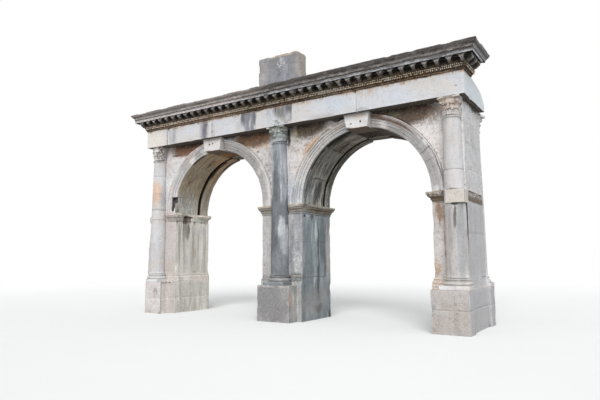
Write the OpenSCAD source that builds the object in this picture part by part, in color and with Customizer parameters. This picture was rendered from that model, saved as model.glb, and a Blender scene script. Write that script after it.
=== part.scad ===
// Twin-arched Roman gate in the form of a triumphal arch, built of limestone blocks.
// Two arches stand side by side between three piers. Half columns on pedestals
// carry a plain frieze and a cornice on brackets, and one upright slab stands on top.
// Origin: middle of the footprint at ground level. X runs along the wall, the front
// faces -Y and +Z is up.

/* [Wall] */
// Length of the wall between its two end faces
wall_len = 11280; // [10800:10:12000]
// Depth of the wall from the front face to the rear face
wall_d = 1700; // [1600:10:2000]
// Width of the middle pier
centre_pier_w = 1500; // [1400:10:1600]

/* [Arches] */
// Clear span of the right arch
right_span = 4000; // [3800:10:4100]
// Clear span of the left arch
left_span = 3840; // [3700:10:4100]
// Height of each arch centre above the imposts
stilt_h = 60; // [20:5:120]
// Height of the arch stones from the soffit to the back of the ring
ring_h = 370; // [330:10:370]
// Depth of the right ring in front of the portcullis slot
right_ring_d = 1250; // [1000:10:1300]
// Depth of the left ring in front of the portcullis slot
left_ring_d = 1140; // [1000:10:1300]
// Width of the portcullis slot in the vaults
slot_w = 110; // [80:5:160]

/* [Heights] */
// Height of the pedestals
pedestal_h = 1070; // [900:10:1300]
// Height of the moulded base course over the pedestals
base_h = 290; // [240:10:340]
// Height of the top of the imposts above the pedestals
impost_top_h = 2430; // [2200:10:2600]
// Height of the impost course
impost_h = 290; // [240:10:340]
// Height by which the right impost lies above the other two
right_lift = 60; // [0:5:60]
// Height of the underside of the frieze above the pedestals
frieze_under_h = 4875; // [4860:5:5000]
// Height of the frieze
frieze_h = 610; // [500:10:700]

/* [Half columns] */
// Distance of the outer columns from the middle column
column_pitch = 5370; // [5340:10:5400]
// Radius of the shaft above its base
shaft_r = 282; // [240:2:300]
// Radius of the shaft under its capital
shaft_top_r = 226; // [200:2:240]
// Distance of the column axis in front of the wall
axis_out = 100; // [60:5:140]
// Height of the capitals
capital_h = 500; // [440:10:560]

/* [Entablature] */
// Overhang of the frieze over the wall face at the front and rear
frieze_out = 380; // [340:5:420]
// Overhang of the frieze over the end walls
frieze_end_out = 160; // [140:5:200]
// Height of the bed moulding under the brackets
bed_h = 150; // [120:5:180]
// Height of the brackets
bracket_h = 150; // [120:5:180]
// Width of one bracket
bracket_w = 132; // [110:2:150]
// Number of brackets from the middle of the front to its end
front_brackets = 19; // [15:1:21]
// Number of bracket bays from the middle of an end to its corner bracket
end_bays = 4; // [3:1:5]
// Overhang of the corona over the frieze
corona_out = 320; // [300:5:360]
// Height of the corona
corona_h = 100; // [80:5:120]
// Overhang of the cyma over the frieze
cyma_out = 440; // [400:5:480]
// Height of the cyma and its fillet
cyma_h = 205; // [180:5:240]

/* [Slab on top] */
// Width of the slab
slab_w = 1580; // [1200:10:1800]
// Height of the slab
slab_h = 1150; // [800:10:1300]
// Thickness of the slab
slab_t = 420; // [300:10:500]
// Distance of the slab in front of the wall face
slab_out = 200; // [0:10:300]

/* [Hidden] */

// Stone colours
cream = [0.86, 0.82, 0.75];
pale = [0.80, 0.79, 0.76];
white_stone = [0.92, 0.90, 0.86];
ochre = [0.66, 0.60, 0.51];
brown = [0.50, 0.45, 0.39];
grey = [0.58, 0.57, 0.54];

// Facets of the arches and of the round columns
arch_fn = 256;
column_fn = 96;
far = 20000;

face_y = wall_d / 2;
wall_x = wall_len / 2;
pier_x = centre_pier_w / 2;
jamb_left_x = -pier_x - left_span;
jamb_right_x = pier_x + right_span;

base_top_z = pedestal_h + base_h;
impost_top_z = pedestal_h + impost_top_h;
impost_z = impost_top_z - impost_h;
arch_z = impost_top_z + stilt_h;
// Middle, height of the centre and radius of each arch; the left arch springs a little
// higher and is a little wider than the space between its jambs
left_arch_shift = -25;
left_arch_rise = 30;
left_arch_grow = 37;
left_arch = [-pier_x - left_span / 2 + left_arch_shift, arch_z + left_arch_rise,
             left_span / 2 + left_arch_grow];
right_arch = [pier_x + right_span / 2, arch_z, right_span / 2];
left_stilts = [stilt_h + left_arch_rise, stilt_h + left_arch_rise];
right_stilts = [stilt_h, stilt_h - right_lift];
left_rear_d = wall_d - left_ring_d - slot_w;
right_rear_d = wall_d - right_ring_d - slot_w;
frieze_z = pedestal_h + frieze_under_h;
frieze_top_z = frieze_z + frieze_h;
bracket_z = frieze_top_z + bed_h;
corona_z = bracket_z + bracket_h;
cyma_z = corona_z + corona_h;
cornice_top_z = cyma_z + cyma_h;

frieze_x = wall_x + frieze_end_out;
frieze_y = face_y + frieze_out;
column_y = face_y + axis_out;

// Pedestal, moulded base and impost sizes
pedestal_step = 70;
pedestal_half_w = 590;
rear_bay_half_w = 390;
pedestal_out = 480;
plinth_half_w = 375;
plinth_h = 115;
end_step = 40;
bay_end_x = column_pitch + plinth_half_w;
base_notch = plinth_half_w + 15;
impost_notch = shaft_r + 15;

// Mouldings: overhang and height of each corner, from the bottom up
base_profile = [
    [62, 0], [62, 100], [50, 108], [58, 150], [48, 185],
    [26, 200], [24, 225], [34, 240], [32, 262], [12, 270], [0, base_h]
];
impost_profile = [
    [0, 0], [22, 12], [22, 62], [46, 78], [46, 128],
    each quarter(46, 138, 62, 70, 5),
    [118, 216], [132, 222], [132, impost_h]
];
bed_profile = [
    [0, 0], [24, 0], [24, 34],
    each quarter(24, 40, 52, 62, 5),
    [84, 108], [92, 116], [92, bed_h]
];
cyma_profile = [
    [corona_out - 6, 0], [corona_out + 14, 0], [corona_out + 14, 24],
    each ogee(corona_out + 20, 32, cyma_out - corona_out - 34, cyma_h - 82, 8),
    [cyma_out, cyma_h - 46], [cyma_out, cyma_h]
];

// Height of the repair block and how far it stands out from the wall
repair_h = 340;
repair_out = 385;

// Upright joints of the frieze, and where its rear right corner starts to be missing
frieze_joint_left = -4735;
frieze_joint_right = 2795;
break_x = 5450;

// Keystones: how far they stand out, hang down, narrow and sit left of the middle
key_out = 228;
key_in = 450;
key_drop = 38;
key_half_top = 412;
key_half_foot = 342;
key_shift = -40;

// A quarter round that starts level and swells outwards
function quarter(out, z, dx, dz, n) =
    [for (i = [1:n]) [out + dx * sin(90 * i / n), z + dz * (1 - cos(90 * i / n))]];

// An S curve, hollow below and round above
function ogee(out, z, dx, dz, n) =
    [for (i = [0:n]) [out + dx * (1 - cos(180 * i / n)) / 2, z + dz * i / n]];

function reversed(list) = [for (i = [len(list) - 1:-1:0]) list[i]];

// Corner points of one side of a course: moulded where out is 1 or -1, plain at 0
function edge_points(at, out, profile) =
    out == 0 ? [[at, profile[0][1]], [at, profile[len(profile) - 1][1]]]
             : [for (p = profile) [at + out * p[0], p[1]]];

function course_section(low, high, low_on, high_on, profile) =
    concat(edge_points(high, high_on, profile),
           reversed(edge_points(low, -low_on, profile)));

// Draws a section of X and Z points through the whole depth
module along_y(points) {
    rotate([90, 0, 0]) linear_extrude(far, center = true) polygon(points);
}

// Draws a section of Y and Z points along the whole length
module along_x(points) {
    rotate([90, 0, 90]) linear_extrude(far, center = true) polygon(points);
}

// A stone course with the same moulding on the sides that are switched on
module moulded_course(x0, x1, y0, y1, profile, left, right, front, rear) {
    intersection() {
        along_y(course_section(x0, x1, left, right, profile));
        along_x(course_section(y0, y1, front, rear, profile));
    }
}

module block(x0, x1, y0, y1, z0, z1) {
    translate([x0, y0, z0]) cube([x1 - x0, y1 - y0, z1 - z0]);
}

// Keeps only what stands in front of the wall face
module in_front() {
    intersection() {
        children();
        block(-far, far, -far, -face_y, -1, far);
    }
}

// Turns a front piece round to the rear face
module to_rear() {
    mirror([0, 1, 0]) children();
}

// A bay of a pedestal under a half column, from the wall face to its front
module pedestal_bay(column_x, half_w) {
    block(max(column_x - half_w, -bay_end_x), min(column_x + half_w, bay_end_x),
          -face_y - pedestal_out, -face_y, 0, pedestal_h);
}

// A pedestal: the foot of the pier, with a bay at the front and a narrower one at the rear
module pedestal(x0, x1, column_x, left_step, right_step) {
    union() {
        block(x0 - left_step, x1 + right_step, -face_y - pedestal_step, face_y, 0, pedestal_h);
        pedestal_bay(column_x, pedestal_half_w);
        to_rear() pedestal_bay(column_x, rear_bay_half_w);
    }
}

// What has broken off the front left corner of the left pedestal and its plinth
module broken_corner() {
    translate([-bay_end_x, -face_y - pedestal_out, -1])
        linear_extrude(base_top_z) polygon([[-150, 318], [350, -143], [-150, -143]]);
}

// The moulded foot of a pier, notched where a column base stands
module base_course(x0, x1, column_x, left, right) {
    difference() {
        translate([0, 0, pedestal_h])
            moulded_course(x0, x1, -face_y, face_y, base_profile, left, right, 1, 0);
        translate([column_x - base_notch, -far - face_y, 0]) cube([2 * base_notch, far, far]);
    }
}

// The upright part of a pier
module pier(x0, x1, lift) {
    block(x0, x1, -face_y, face_y, base_top_z, impost_z + lift);
}

// The moulded course that carries the arches, notched for the half columns
module impost(x0, x1, column_x, lift, left, right, rear) {
    difference() {
        translate([0, 0, impost_z + lift])
            moulded_course(x0, x1, -face_y, face_y, impost_profile, left, right, 1, rear);
        for (side = [0, 1])
            mirror([0, side, 0])
                translate([column_x - impost_notch, face_y, 0]) cube([2 * impost_notch, far, far]);
    }
}

// The square hole that a beam left in the jamb of the left pier
module beam_socket() {
    block(jamb_left_x - 120, jamb_left_x + 400, -520, -120, impost_z - 70, impost_z + 200);
}

// Height of a ring; its crown stays just under the frieze
function ring_height(arch) = min(ring_h, frieze_z - arch[1] - arch[2] - 12);

// Moulded face of an arch ring: radius and distance from the middle of the wall
function archivolt_points(r, inner_y, h) = [
    [r, inner_y], [r, face_y + 14],
    [r + 0.27 * h, face_y + 14], [r + 0.27 * h, face_y + 28],
    [r + 0.50 * h, face_y + 28], [r + 0.50 * h, face_y + 42],
    [r + 0.63 * h, face_y + 42],
    each [for (i = [1:5]) [r + (0.63 + 0.13 * i / 5) * h, face_y + 46 + 36 * sin(90 * i / 5)]],
    [r + 0.80 * h, face_y + 82], [r + 0.80 * h, face_y + 90],
    [r + 0.91 * h, face_y + 90], [r + 0.91 * h, face_y + 96],
    [r + h, face_y + 96], [r + h, inner_y]
];

// A half ring on its upright stretches, with its moulded face to the front
module arch_ring(arch, inner_y, stilts) {
    points = archivolt_points(arch[2], inner_y, ring_height(arch));
    translate([arch[0], 0, arch[1]]) {
        rotate([90, 0, 0]) rotate_extrude(angle = 180, $fn = arch_fn) polygon(points);
        for (side = [0, 1])
            if (stilts[side] > 0)
                mirror([1 - side, 0, 0])
                    translate([0, 0, -stilts[side]])
                        mirror([0, 1, 0]) linear_extrude(stilts[side]) polygon(points);
    }
}

// The wedge that a keystone fills
module key_wedge(arch, in_d) {
    foot_z = arch[1] + arch[2] - key_drop;
    translate([arch[0] + key_shift, 0, 0])
        rotate([90, 0, 0])
            translate([0, 0, face_y - in_d])
                linear_extrude(in_d + key_out)
                    polygon([[-key_half_foot, foot_z], [key_half_foot, foot_z],
                             [key_half_top, frieze_z], [-key_half_top, frieze_z]]);
}

// A front ring with its keystone left out; its mouldings stop short of the half columns
module front_ring(arch, ring_d, key_d, stilts) {
    difference() {
        arch_ring(arch, face_y - ring_d, stilts);
        key_wedge(arch, key_d);
        for (side = [-1:1])
            block(side * column_pitch - impost_notch, side * column_pitch + impost_notch,
                  -far, -face_y, 0, far);
    }
}

module rear_ring(arch, rear_d, stilts) {
    to_rear() front_ring(arch, rear_d, rear_d, stilts);
}

// The tapered slot that was cut into the foot of the left ring
module ring_slot() {
    translate([jamb_left_x, -face_y - 150, arch_z])
        rotate([90, 0, 0])
            mirror([0, 0, 1])
                linear_extrude(270)
                    polygon([[-225, 510], [20, 510], [-135, 20], [-255, 20]]);
}

// The back of a ring, cut from the wall above the imposts
module ring_cut(arch) {
    r = arch[2] + ring_height(arch);
    translate([arch[0], 0, arch[1]]) {
        rotate([90, 0, 0]) cylinder(h = far, r = r, center = true, $fn = arch_fn);
        block(-r, r, -far, far, -far, 0);
    }
}

module key_cuts(arch, rear_d) {
    key_wedge(arch, key_in);
    to_rear() key_wedge(arch, rear_d);
}

// Wall above the imposts, from its foot to the frieze
module spandrel(x0, x1, foot_z) {
    difference() {
        block(x0, x1, -face_y, face_y, foot_z, frieze_z);
        ring_cut(left_arch);
        ring_cut(right_arch);
        key_cuts(left_arch, left_rear_d);
        key_cuts(right_arch, right_rear_d);
    }
}

// Attic base: square plinth, two rolls and the hollow between them
module column_base(x) {
    r = shaft_r;
    roll = 42;
    small_roll = 26;
    in_front() translate([x, -column_y, pedestal_h]) {
        translate([-plinth_half_w, -plinth_half_w, 0])
            cube([2 * plinth_half_w, 2 * plinth_half_w, plinth_h]);
        rotate_extrude($fn = column_fn)
            polygon([
                [0, plinth_h],
                each [for (i = [0:8]) [r + 46 + roll * sin(180 * i / 8),
                                       plinth_h + roll - roll * cos(180 * i / 8)]],
                [r + 36, plinth_h + 94],
                each [for (i = [1:5]) [r + 34 - 20 * sin(180 * i / 6), plinth_h + 94 + 24 * i / 6]],
                [r + 30, plinth_h + 118],
                each [for (i = [1:6]) [r + 28 + small_roll * sin(180 * i / 6),
                                       plinth_h + 122 + small_roll * (1 - cos(180 * i / 6))]],
                [0, base_h]
            ]);
    }
}

// Smooth half column, fuller below, with a ring under the capital
module column_shaft(x) {
    z0 = base_top_z;
    h = frieze_z - capital_h - z0;
    in_front() translate([x, -column_y, z0])
        rotate_extrude($fn = column_fn)
            polygon([
                [0, 0], [shaft_r + 22, 0], [shaft_r + 22, 22], [shaft_r + 8, 34],
                each [for (i = [0:8]) [shaft_top_r + (shaft_r - shaft_top_r) * cos(90 * i / 8),
                                       60 + (h - 140) * i / 8]],
                [shaft_top_r + 4, h - 62], [shaft_top_r + 22, h - 50],
                each [for (i = [1:5]) [shaft_top_r + 22 + 16 * sin(180 * i / 5),
                                       h - 50 + 50 * i / 5]],
                [0, h]
            ]);
}

// The plain block that mends the right column at the height of its impost
module repair_block() {
    block(column_pitch - 155, column_pitch + 317, -face_y - repair_out, -face_y,
          impost_z, impost_z + repair_h);
}

// One leaf of a capital: a curved tongue that bends out at its tip
module leaf(turn, r0, foot, tall, out, wide) {
    rotate([0, 0, turn - wide / 2])
        rotate_extrude(angle = wide, $fn = column_fn)
            polygon([
                [r0 - 30, foot], [r0 + 16, foot],
                each [for (i = [1:5]) [r0 + 16 + out * 0.6 * pow(i / 5, 2), foot + tall * 0.84 * i / 5]],
                [r0 + 20 + out, foot + tall * 0.82], [r0 + 26 + out, foot + tall * 0.9],
                [r0 + 12 + out * 0.5, foot + tall], [r0 - 20, foot + tall * 0.97]
            ]);
}

// Capital with two rows of leaves on a bell, corner volutes and a hollow-sided abacus
module capital(x) {
    r = shaft_top_r;
    abacus_h = 74;
    abacus_half = 345;
    bell_h = capital_h - abacus_h;
    in_front() translate([x, -column_y, frieze_z - capital_h]) {
        rotate_extrude($fn = column_fn)
            polygon([
                [0, 0], [r + 2, 0],
                each [for (i = [0:6]) [r + 2 + 62 * pow(i / 6, 2), bell_h * i / 6]],
                [0, bell_h]
            ]);
        for (i = [0:4]) leaf(180 + 45 * i, r, 0, 190, 44, 37);
        for (i = [0:3]) leaf(202.5 + 45 * i, r + 6, 130, 185, 62, 35);
        for (side = [-1, 1])
            rotate([0, 0, -90 + side * 45])
                translate([r - 20, 0, bell_h - 66])
                    rotate([90, 0, 0]) {
                        translate([114, 0, 0]) cylinder(h = 84, r = 54, center = true, $fn = 48);
                        translate([0, -30, -42]) cube([114, 66, 84]);
                    }
        translate([0, 0, bell_h]) difference() {
            translate([-abacus_half, -abacus_half, 0])
                cube([2 * abacus_half, 2 * abacus_half, abacus_h]);
            for (turn = [0, 90, 180, 270])
                rotate([0, 0, turn]) translate([0, -abacus_half - 700, -1])
                    cylinder(h = abacus_h + 2, r = 745, $fn = arch_fn);
        }
    }
}

// Stretch of the frieze from one upright joint to the next, through the wall
module frieze(x0, x1) {
    block(x0, x1, -frieze_y, frieze_y, frieze_z, frieze_top_z);
}

// What has fallen from the rear right corner of the frieze
module frieze_break() {
    translate([break_x, 0, 0])
        rotate([90, 0, 90])
            linear_extrude(far)
                polygon([[-520, frieze_top_z], [90, frieze_top_z - 65], [520, frieze_top_z - 145],
                         [face_y, frieze_top_z - 395], [face_y, frieze_z - 1],
                         [far, frieze_z - 1], [far, far], [-520, far]]);
}

// What has fallen from the rear right corner of a cornice course, behind edge_y
module cornice_break(edge_y) {
    linear_extrude(far)
        polygon([[far, edge_y + 60], [frieze_x + cyma_out, edge_y + 60], [frieze_x, edge_y - 90],
                 [break_x, edge_y - 120], [break_x - 150, 300], [break_x - 60, 1000],
                 [break_x - 130, far], [far, far]]);
}

module cornice_course(profile, z, edge_y) {
    difference() {
        translate([0, 0, z])
            moulded_course(-frieze_x, frieze_x, -frieze_y, frieze_y, profile, 1, 1, 1, 1);
        cornice_break(edge_y);
    }
}

// Side outline of one bracket: a scroll that hangs deepest at its foot
bracket_reach = corona_out - 38;
band_out = 104;
lip_w = 34;
lip_h = 34;
function bracket_points() = [
    [band_out - 10, bracket_h + lip_h], [band_out - 10, 14], [band_out + 26, 6],
    each [for (i = [0:6]) [band_out + 34 + (bracket_reach - band_out - 74) * i / 6,
                           14 + 62 * (1 - cos(180 * i / 6)) / 2 - 8 * sin(180 * i / 6)]],
    each [for (i = [1:5]) [bracket_reach - 40 + 40 * sin(30 * i),
                           bracket_h - 40 - 38 * cos(30 * i) + 8]],
    [bracket_reach - 18, bracket_h + lip_h]
];

// A bracket that points to -Y, with its back on the frieze line
module bracket() {
    translate([-bracket_w / 2, 0, 0])
        rotate([90, 0, 90])
            linear_extrude(bracket_w)
                polygon([for (p = bracket_points()) [-p[0], p[1]]]);
}

// Brackets stand on both sides of each axis of the front, and on the axis of an end
module bracket_rows() {
    front_pitch = (frieze_x + 18) / (front_brackets - 0.5);
    end_pitch = (frieze_y + 18) / end_bays;
    for (side = [0, 1], end = [0, 1], i = [1:front_brackets])
        mirror([0, side, 0]) mirror([end, 0, 0])
            translate([(i - 0.5) * front_pitch, -frieze_y, bracket_z]) bracket();
    for (end = [0, 1], i = [-end_bays:end_bays])
        mirror([end, 0, 0])
            translate([frieze_x, i * end_pitch, bracket_z]) rotate([0, 0, 90]) bracket();
}

// The corona slab with its dripping lip, the band behind the brackets and the brackets
module corona_with_brackets() {
    x = frieze_x + corona_out;
    y = frieze_y + corona_out;
    soffit_z = corona_z + lip_h;
    color(brown) difference() {
        union() {
            block(-frieze_x - band_out, frieze_x + band_out,
                  -frieze_y - band_out, frieze_y + band_out, bracket_z, soffit_z);
            block(-x, x, -y, y, soffit_z, cyma_z);
            difference() {
                block(-x, x, -y, y, corona_z, soffit_z);
                block(-x + lip_w, x - lip_w, -y + lip_w, y - lip_w, corona_z - 1, soffit_z + 1);
            }
            bracket_rows();
        }
        cornice_break(-560);
    }
}

module bed_moulding() {
    color(brown) cornice_course(bed_profile, frieze_top_z, -430);
}

module cyma() {
    color(grey) cornice_course(cyma_profile, cyma_z, -270);
}

// Upright slab with one shoulder worn round and that side splayed at its foot
module top_slab() {
    half = slab_w / 2;
    shoulder = 140;
    splay = 50;
    color(grey)
        translate([0, -face_y - slab_out, cornice_top_z])
            rotate([90, 0, 0])
                translate([0, 0, -slab_t])
                    linear_extrude(slab_t)
                        polygon([
                            [-half, 0], [half + splay, 0],
                            each [for (i = [0:6]) [half - shoulder * (1 - cos(15 * i)),
                                                   slab_h - shoulder * (1 - sin(15 * i))]],
                            [-half + 30, slab_h], [-half, slab_h - 30]
                        ]);
}

// Stump of the wall that once ran on from the left end, with its broken edge
module wall_stub() {
    stub_d = 760;
    color(cream)
        translate([-wall_x, -face_y + stub_d, 0])
            rotate([90, 0, 0])
                linear_extrude(stub_d)
                    polygon([[0, 0], [-400, 0], [-385, 1050], [-375, 2480], [-310, 2600],
                             [-300, 2980], [-220, 3040], [-235, 3160], [-350, 3200],
                             [-370, 3420], [-300, 3500], [0, 3560]]);
}

color(cream) difference() {  // pedestal_left
        pedestal(-wall_x, jamb_left_x, -column_pitch, 0, pedestal_step);
        broken_corner();
    }
color(pale) pedestal(-pier_x, pier_x, 0, 0, 0);  // pedestal_centre
color(cream) pedestal(jamb_right_x, wall_x, column_pitch, pedestal_step, end_step);  // pedestal_right
color(cream) base_course(-wall_x, jamb_left_x, -column_pitch, 0, 1);  // base_course_left
color(pale) base_course(-pier_x, pier_x, 0, 0, 0);  // base_course_centre
color(cream) base_course(jamb_right_x, wall_x, column_pitch, 1, 0);  // base_course_right
color(cream) difference() {  // pier_left
        pier(-wall_x, jamb_left_x, 0);
        beam_socket();
    }
color(pale) pier(-pier_x, pier_x, 0);  // pier_centre
color(cream) pier(jamb_right_x, wall_x, right_lift);  // pier_right
color(cream) difference() {  // impost_left
        impost(-wall_x, jamb_left_x, -column_pitch, 0, 0, 1, 0);
        beam_socket();
    }
color(pale) impost(-pier_x, pier_x, 0, 0, 1, 1, 1);  // impost_centre
color(cream) impost(jamb_right_x, wall_x, column_pitch, right_lift, 1, 0, 1);  // impost_right
color(white_stone) difference() {  // arch_ring_front_left
        front_ring(left_arch, left_ring_d, key_in, left_stilts);
        ring_slot();
    }
color(white_stone) front_ring(right_arch, right_ring_d, key_in, right_stilts);  // arch_ring_front_right
color(ochre) rear_ring(left_arch, left_rear_d, left_stilts);  // arch_ring_rear_left
color(ochre) rear_ring(right_arch, right_rear_d, right_stilts);  // arch_ring_rear_right
color(white_stone) key_wedge(left_arch, key_in);  // keystone_front_left
color(white_stone) key_wedge(right_arch, key_in);  // keystone_front_right
color(white_stone) to_rear() key_wedge(left_arch, left_rear_d);  // keystone_rear_left
color(white_stone) to_rear() key_wedge(right_arch, right_rear_d);  // keystone_rear_right
color(cream) spandrel(-wall_x, left_arch[0], impost_top_z);  // spandrel_left
color(pale) spandrel(left_arch[0], right_arch[0], impost_top_z);  // spandrel_centre
color(cream) spandrel(right_arch[0], wall_x, impost_top_z + right_lift);  // spandrel_right
color(cream) difference() {  // column_base_left
        column_base(-column_pitch);
        broken_corner();
    }
color(pale) column_base(0);  // column_base_centre
color(cream) column_base(column_pitch);  // column_base_right
color(cream) column_shaft(-column_pitch);  // column_shaft_left
color(pale) column_shaft(0);  // column_shaft_centre
color(cream) difference() {  // column_shaft_right
        column_shaft(column_pitch);
        repair_block();
    }
color(ochre) repair_block();
color(ochre) capital(-column_pitch);  // capital_left
color(ochre) capital(0);  // capital_centre
color(ochre) capital(column_pitch);  // capital_right
color(cream) for (i = [-1:1]) to_rear() column_base(i * column_pitch);  // rear_column_bases
color(cream) for (i = [-1:1]) to_rear() column_shaft(i * column_pitch);  // rear_column_shafts
color(ochre) for (i = [-1:1]) to_rear() capital(i * column_pitch);  // rear_capitals
color(white_stone) frieze(-frieze_x, frieze_joint_left);  // frieze_left_end
color(white_stone) frieze(frieze_joint_left, 0);  // frieze_left
color(white_stone) frieze(0, frieze_joint_right);  // frieze_right
color(white_stone) difference() {  // frieze_right_end
        frieze(frieze_joint_right, frieze_x);
        frieze_break();
    }
bed_moulding();
corona_with_brackets();
cyma();
top_slab();
wall_stub();
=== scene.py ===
import math
import random

import bmesh
import bpy
from mathutils import Matrix, Vector, noise


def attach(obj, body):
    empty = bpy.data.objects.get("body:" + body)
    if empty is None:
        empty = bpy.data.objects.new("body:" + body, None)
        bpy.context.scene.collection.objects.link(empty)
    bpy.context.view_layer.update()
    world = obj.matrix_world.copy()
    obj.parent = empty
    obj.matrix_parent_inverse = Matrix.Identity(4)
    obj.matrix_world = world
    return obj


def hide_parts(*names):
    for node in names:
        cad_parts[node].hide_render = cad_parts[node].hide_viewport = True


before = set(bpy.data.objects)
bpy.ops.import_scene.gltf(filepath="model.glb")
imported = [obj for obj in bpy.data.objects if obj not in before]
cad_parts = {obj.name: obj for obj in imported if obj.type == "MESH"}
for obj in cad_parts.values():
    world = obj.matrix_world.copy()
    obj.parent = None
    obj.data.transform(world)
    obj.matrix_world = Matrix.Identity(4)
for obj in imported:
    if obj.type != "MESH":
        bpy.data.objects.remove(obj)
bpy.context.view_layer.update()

scene = bpy.context.scene
chance = random.Random(41)
sides = ("left", "centre", "right")
touch = 0.0001  # two places this close are one
far = 9.0  # past the ends and the top of the gate

# The heights and places below follow the CAD source, in metres.
gate = {
    "ground": 0.0, "pedestalTop": 1.07, "pierBottom": 1.36, "impostBottom": 3.21,
    "impostTop": 3.50, "rightLift": 0.06, "friezeBottom": 5.945, "friezeTop": 6.555,
    "bracketZ": 6.705, "coronaZ": 6.855, "cymaZ": 6.955, "corniceTop": 7.16,
    "leftArch": (-2.695, 3.59, 1.957), "rightArch": (2.75, 3.56, 2.0), "ringHeight": 0.37,
    "faceY": 0.85, "wallX": 5.64, "friezeX": 5.80, "friezeY": 1.23,
    "columns": (-5.37, 0.0, 5.37), "columnY": 0.95,
    "piers": {"left": (-5.64, -4.59), "centre": (-0.75, 0.75), "right": (4.75, 5.64)},
}


# camera, lamps and floor
view = {
    "place": (9.036, -13.897, 1.821),
    "yaw": 0.5701, "pitch": 0.1160, "roll": -0.0050,  # radians
    "lens": 30.849, "sensor": 36.0,
}


def makeCamera():
    camera = bpy.data.objects.new("camera", bpy.data.cameras.new("camera"))
    scene.collection.objects.link(camera)
    camera.data.lens = view["lens"]
    camera.data.sensor_width = view["sensor"]
    camera.matrix_world = (
        Matrix.Translation(view["place"])
        @ Matrix.Rotation(view["yaw"], 4, "Z")
        @ Matrix.Rotation(math.pi / 2 + view["pitch"], 4, "X")
        @ Matrix.Rotation(view["roll"], 4, "Z"))
    scene.camera = camera


makeCamera()
print("camera set")


class Wire:
    # one socket of one finish; sums on it add Math nodes
    def __init__(self, finish, socket):
        self.finish = finish
        self.socket = socket

    def math(self, operation, other, swapped=False):
        pair = (other, self) if swapped else (self, other)
        return self.finish.node("ShaderNodeMath", {"operation": operation},
                                {0: pair[0], 1: pair[1]})

    def __add__(self, other):
        return self.math("ADD", other)

    def __radd__(self, other):
        return self.math("ADD", other, True)

    def __sub__(self, other):
        return self.math("SUBTRACT", other)

    def __rsub__(self, other):
        return self.math("SUBTRACT", other, True)

    def __mul__(self, other):
        return self.math("MULTIPLY", other)

    def __rmul__(self, other):
        return self.math("MULTIPLY", other, True)

    def __abs__(self):
        return self.math("ABSOLUTE", 0.0)

    def most(self, other):
        return self.math("MAXIMUM", other)


def paint(colour):
    return (*colour, 1.0) if isinstance(colour, tuple) else colour


class Finish:
    # one material or world and its nodes
    def __init__(self, owner):
        self.owner = owner
        owner.use_nodes = True
        self.tree = owner.node_tree
        self.tree.nodes.clear()

    def node(self, kind, settings=None, sockets=None, out=0):
        made = self.tree.nodes.new(kind)
        for key, value in (settings or {}).items():
            setattr(made, key, value)
        for key, value in (sockets or {}).items():
            if isinstance(value, Wire):
                self.tree.links.new(value.socket, made.inputs[key])
            else:
                made.inputs[key].default_value = value
        return None if out is None else Wire(self, made.outputs[out])

    def step(self, value, low, high):
        # 0 below low, 1 above high, smooth between
        return self.node("ShaderNodeMapRange", {"interpolation_type": "SMOOTHSTEP"},
                         {"Value": value, "From Min": low, "From Max": high})

    def blend(self, factor, under, over):
        return self.node("ShaderNodeMix", {"data_type": "RGBA"},
                         {0: factor, 6: paint(under), 7: paint(over)}, 2)

    def vector(self, operation, first, second):
        return self.node("ShaderNodeVectorMath", {"operation": operation},
                         {0: first, 1: second})

    def length(self, vector):
        return self.node("ShaderNodeVectorMath", {"operation": "LENGTH"}, {0: vector}, "Value")

    def parts(self, vector):
        first = self.node("ShaderNodeSeparateXYZ", None, {0: vector})
        return [Wire(self, first.socket.node.outputs[i]) for i in range(3)]

    def stray(self, place, scale, reach, stretch=None):
        # moves a place about by clouds, so that the edge of a stain is ragged
        at = self.node("ShaderNodeMapping", None, {"Vector": place, "Scale": stretch}) \
            if stretch else place
        drift = self.node("ShaderNodeTexNoise", None, {
            "Vector": at, "Scale": scale, "Detail": 6.0, "Roughness": 0.65}, "Color")
        drift = self.vector("SUBTRACT", drift, (0.5, 0.5, 0.5))
        return self.vector("ADD", place, self.vector("MULTIPLY", drift, (reach,) * 3))

    def clouds(self, place, scale, detail, roughness=0.55, stretch=None, shift=0.0):
        if stretch or shift:
            place = self.node("ShaderNodeMapping", None, {
                "Vector": place, "Location": (shift, shift * 0.7, shift * 1.3),
                "Scale": stretch or (1, 1, 1)})
        return self.node("ShaderNodeTexNoise", None, {
            "Vector": place, "Scale": scale, "Detail": detail, "Roughness": roughness})


light = {"sky": (0.95, 0.98, 1.0), "skyStrength": 0.70, "keyStrength": 1.8, "keyAngle": 40.0,
         "keyFrom": (0.50, -1.0, 0.75)}


def makeLight():
    sky = Finish(bpy.data.worlds.new("sky"))
    scene.world = sky.owner
    seen = sky.node("ShaderNodeLightPath", out="Is Camera Ray")
    path = seen.socket.node
    for ray in ("Is Glossy Ray", "Is Transmission Ray"):
        seen = seen.most(Wire(sky, path.outputs[ray]))
    plain, soft = [
        sky.node("ShaderNodeBackground", None, {"Color": paint(colour), "Strength": strength})
        for colour, strength in (((1, 1, 1), 1.0), (light["sky"], light["skyStrength"]))]
    mixed = sky.node("ShaderNodeMixShader", None, {0: seen, 1: soft, 2: plain})
    sky.node("ShaderNodeOutputWorld", None, {"Surface": mixed}, None)
    key = bpy.data.objects.new("key", bpy.data.lights.new("key", "SUN"))
    scene.collection.objects.link(key)
    key.data.energy = light["keyStrength"]
    key.data.angle = math.radians(light["keyAngle"])
    key.rotation_euler = Vector(light["keyFrom"]).to_track_quat("Z", "Y").to_euler()
    scene.view_settings.view_transform = "Standard"


makeLight()
print("light set")


floorLook = {
    "half": 60.0, "colour": (0.84, 0.84, 0.83), "mottle": (0.76, 0.76, 0.75),
    "bounce": (0.36, 0.35, 0.33),  # what the stone sees instead of the pale colour
    "fadeFrom": 13.0, "fadeTo": 30.0,
}


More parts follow.
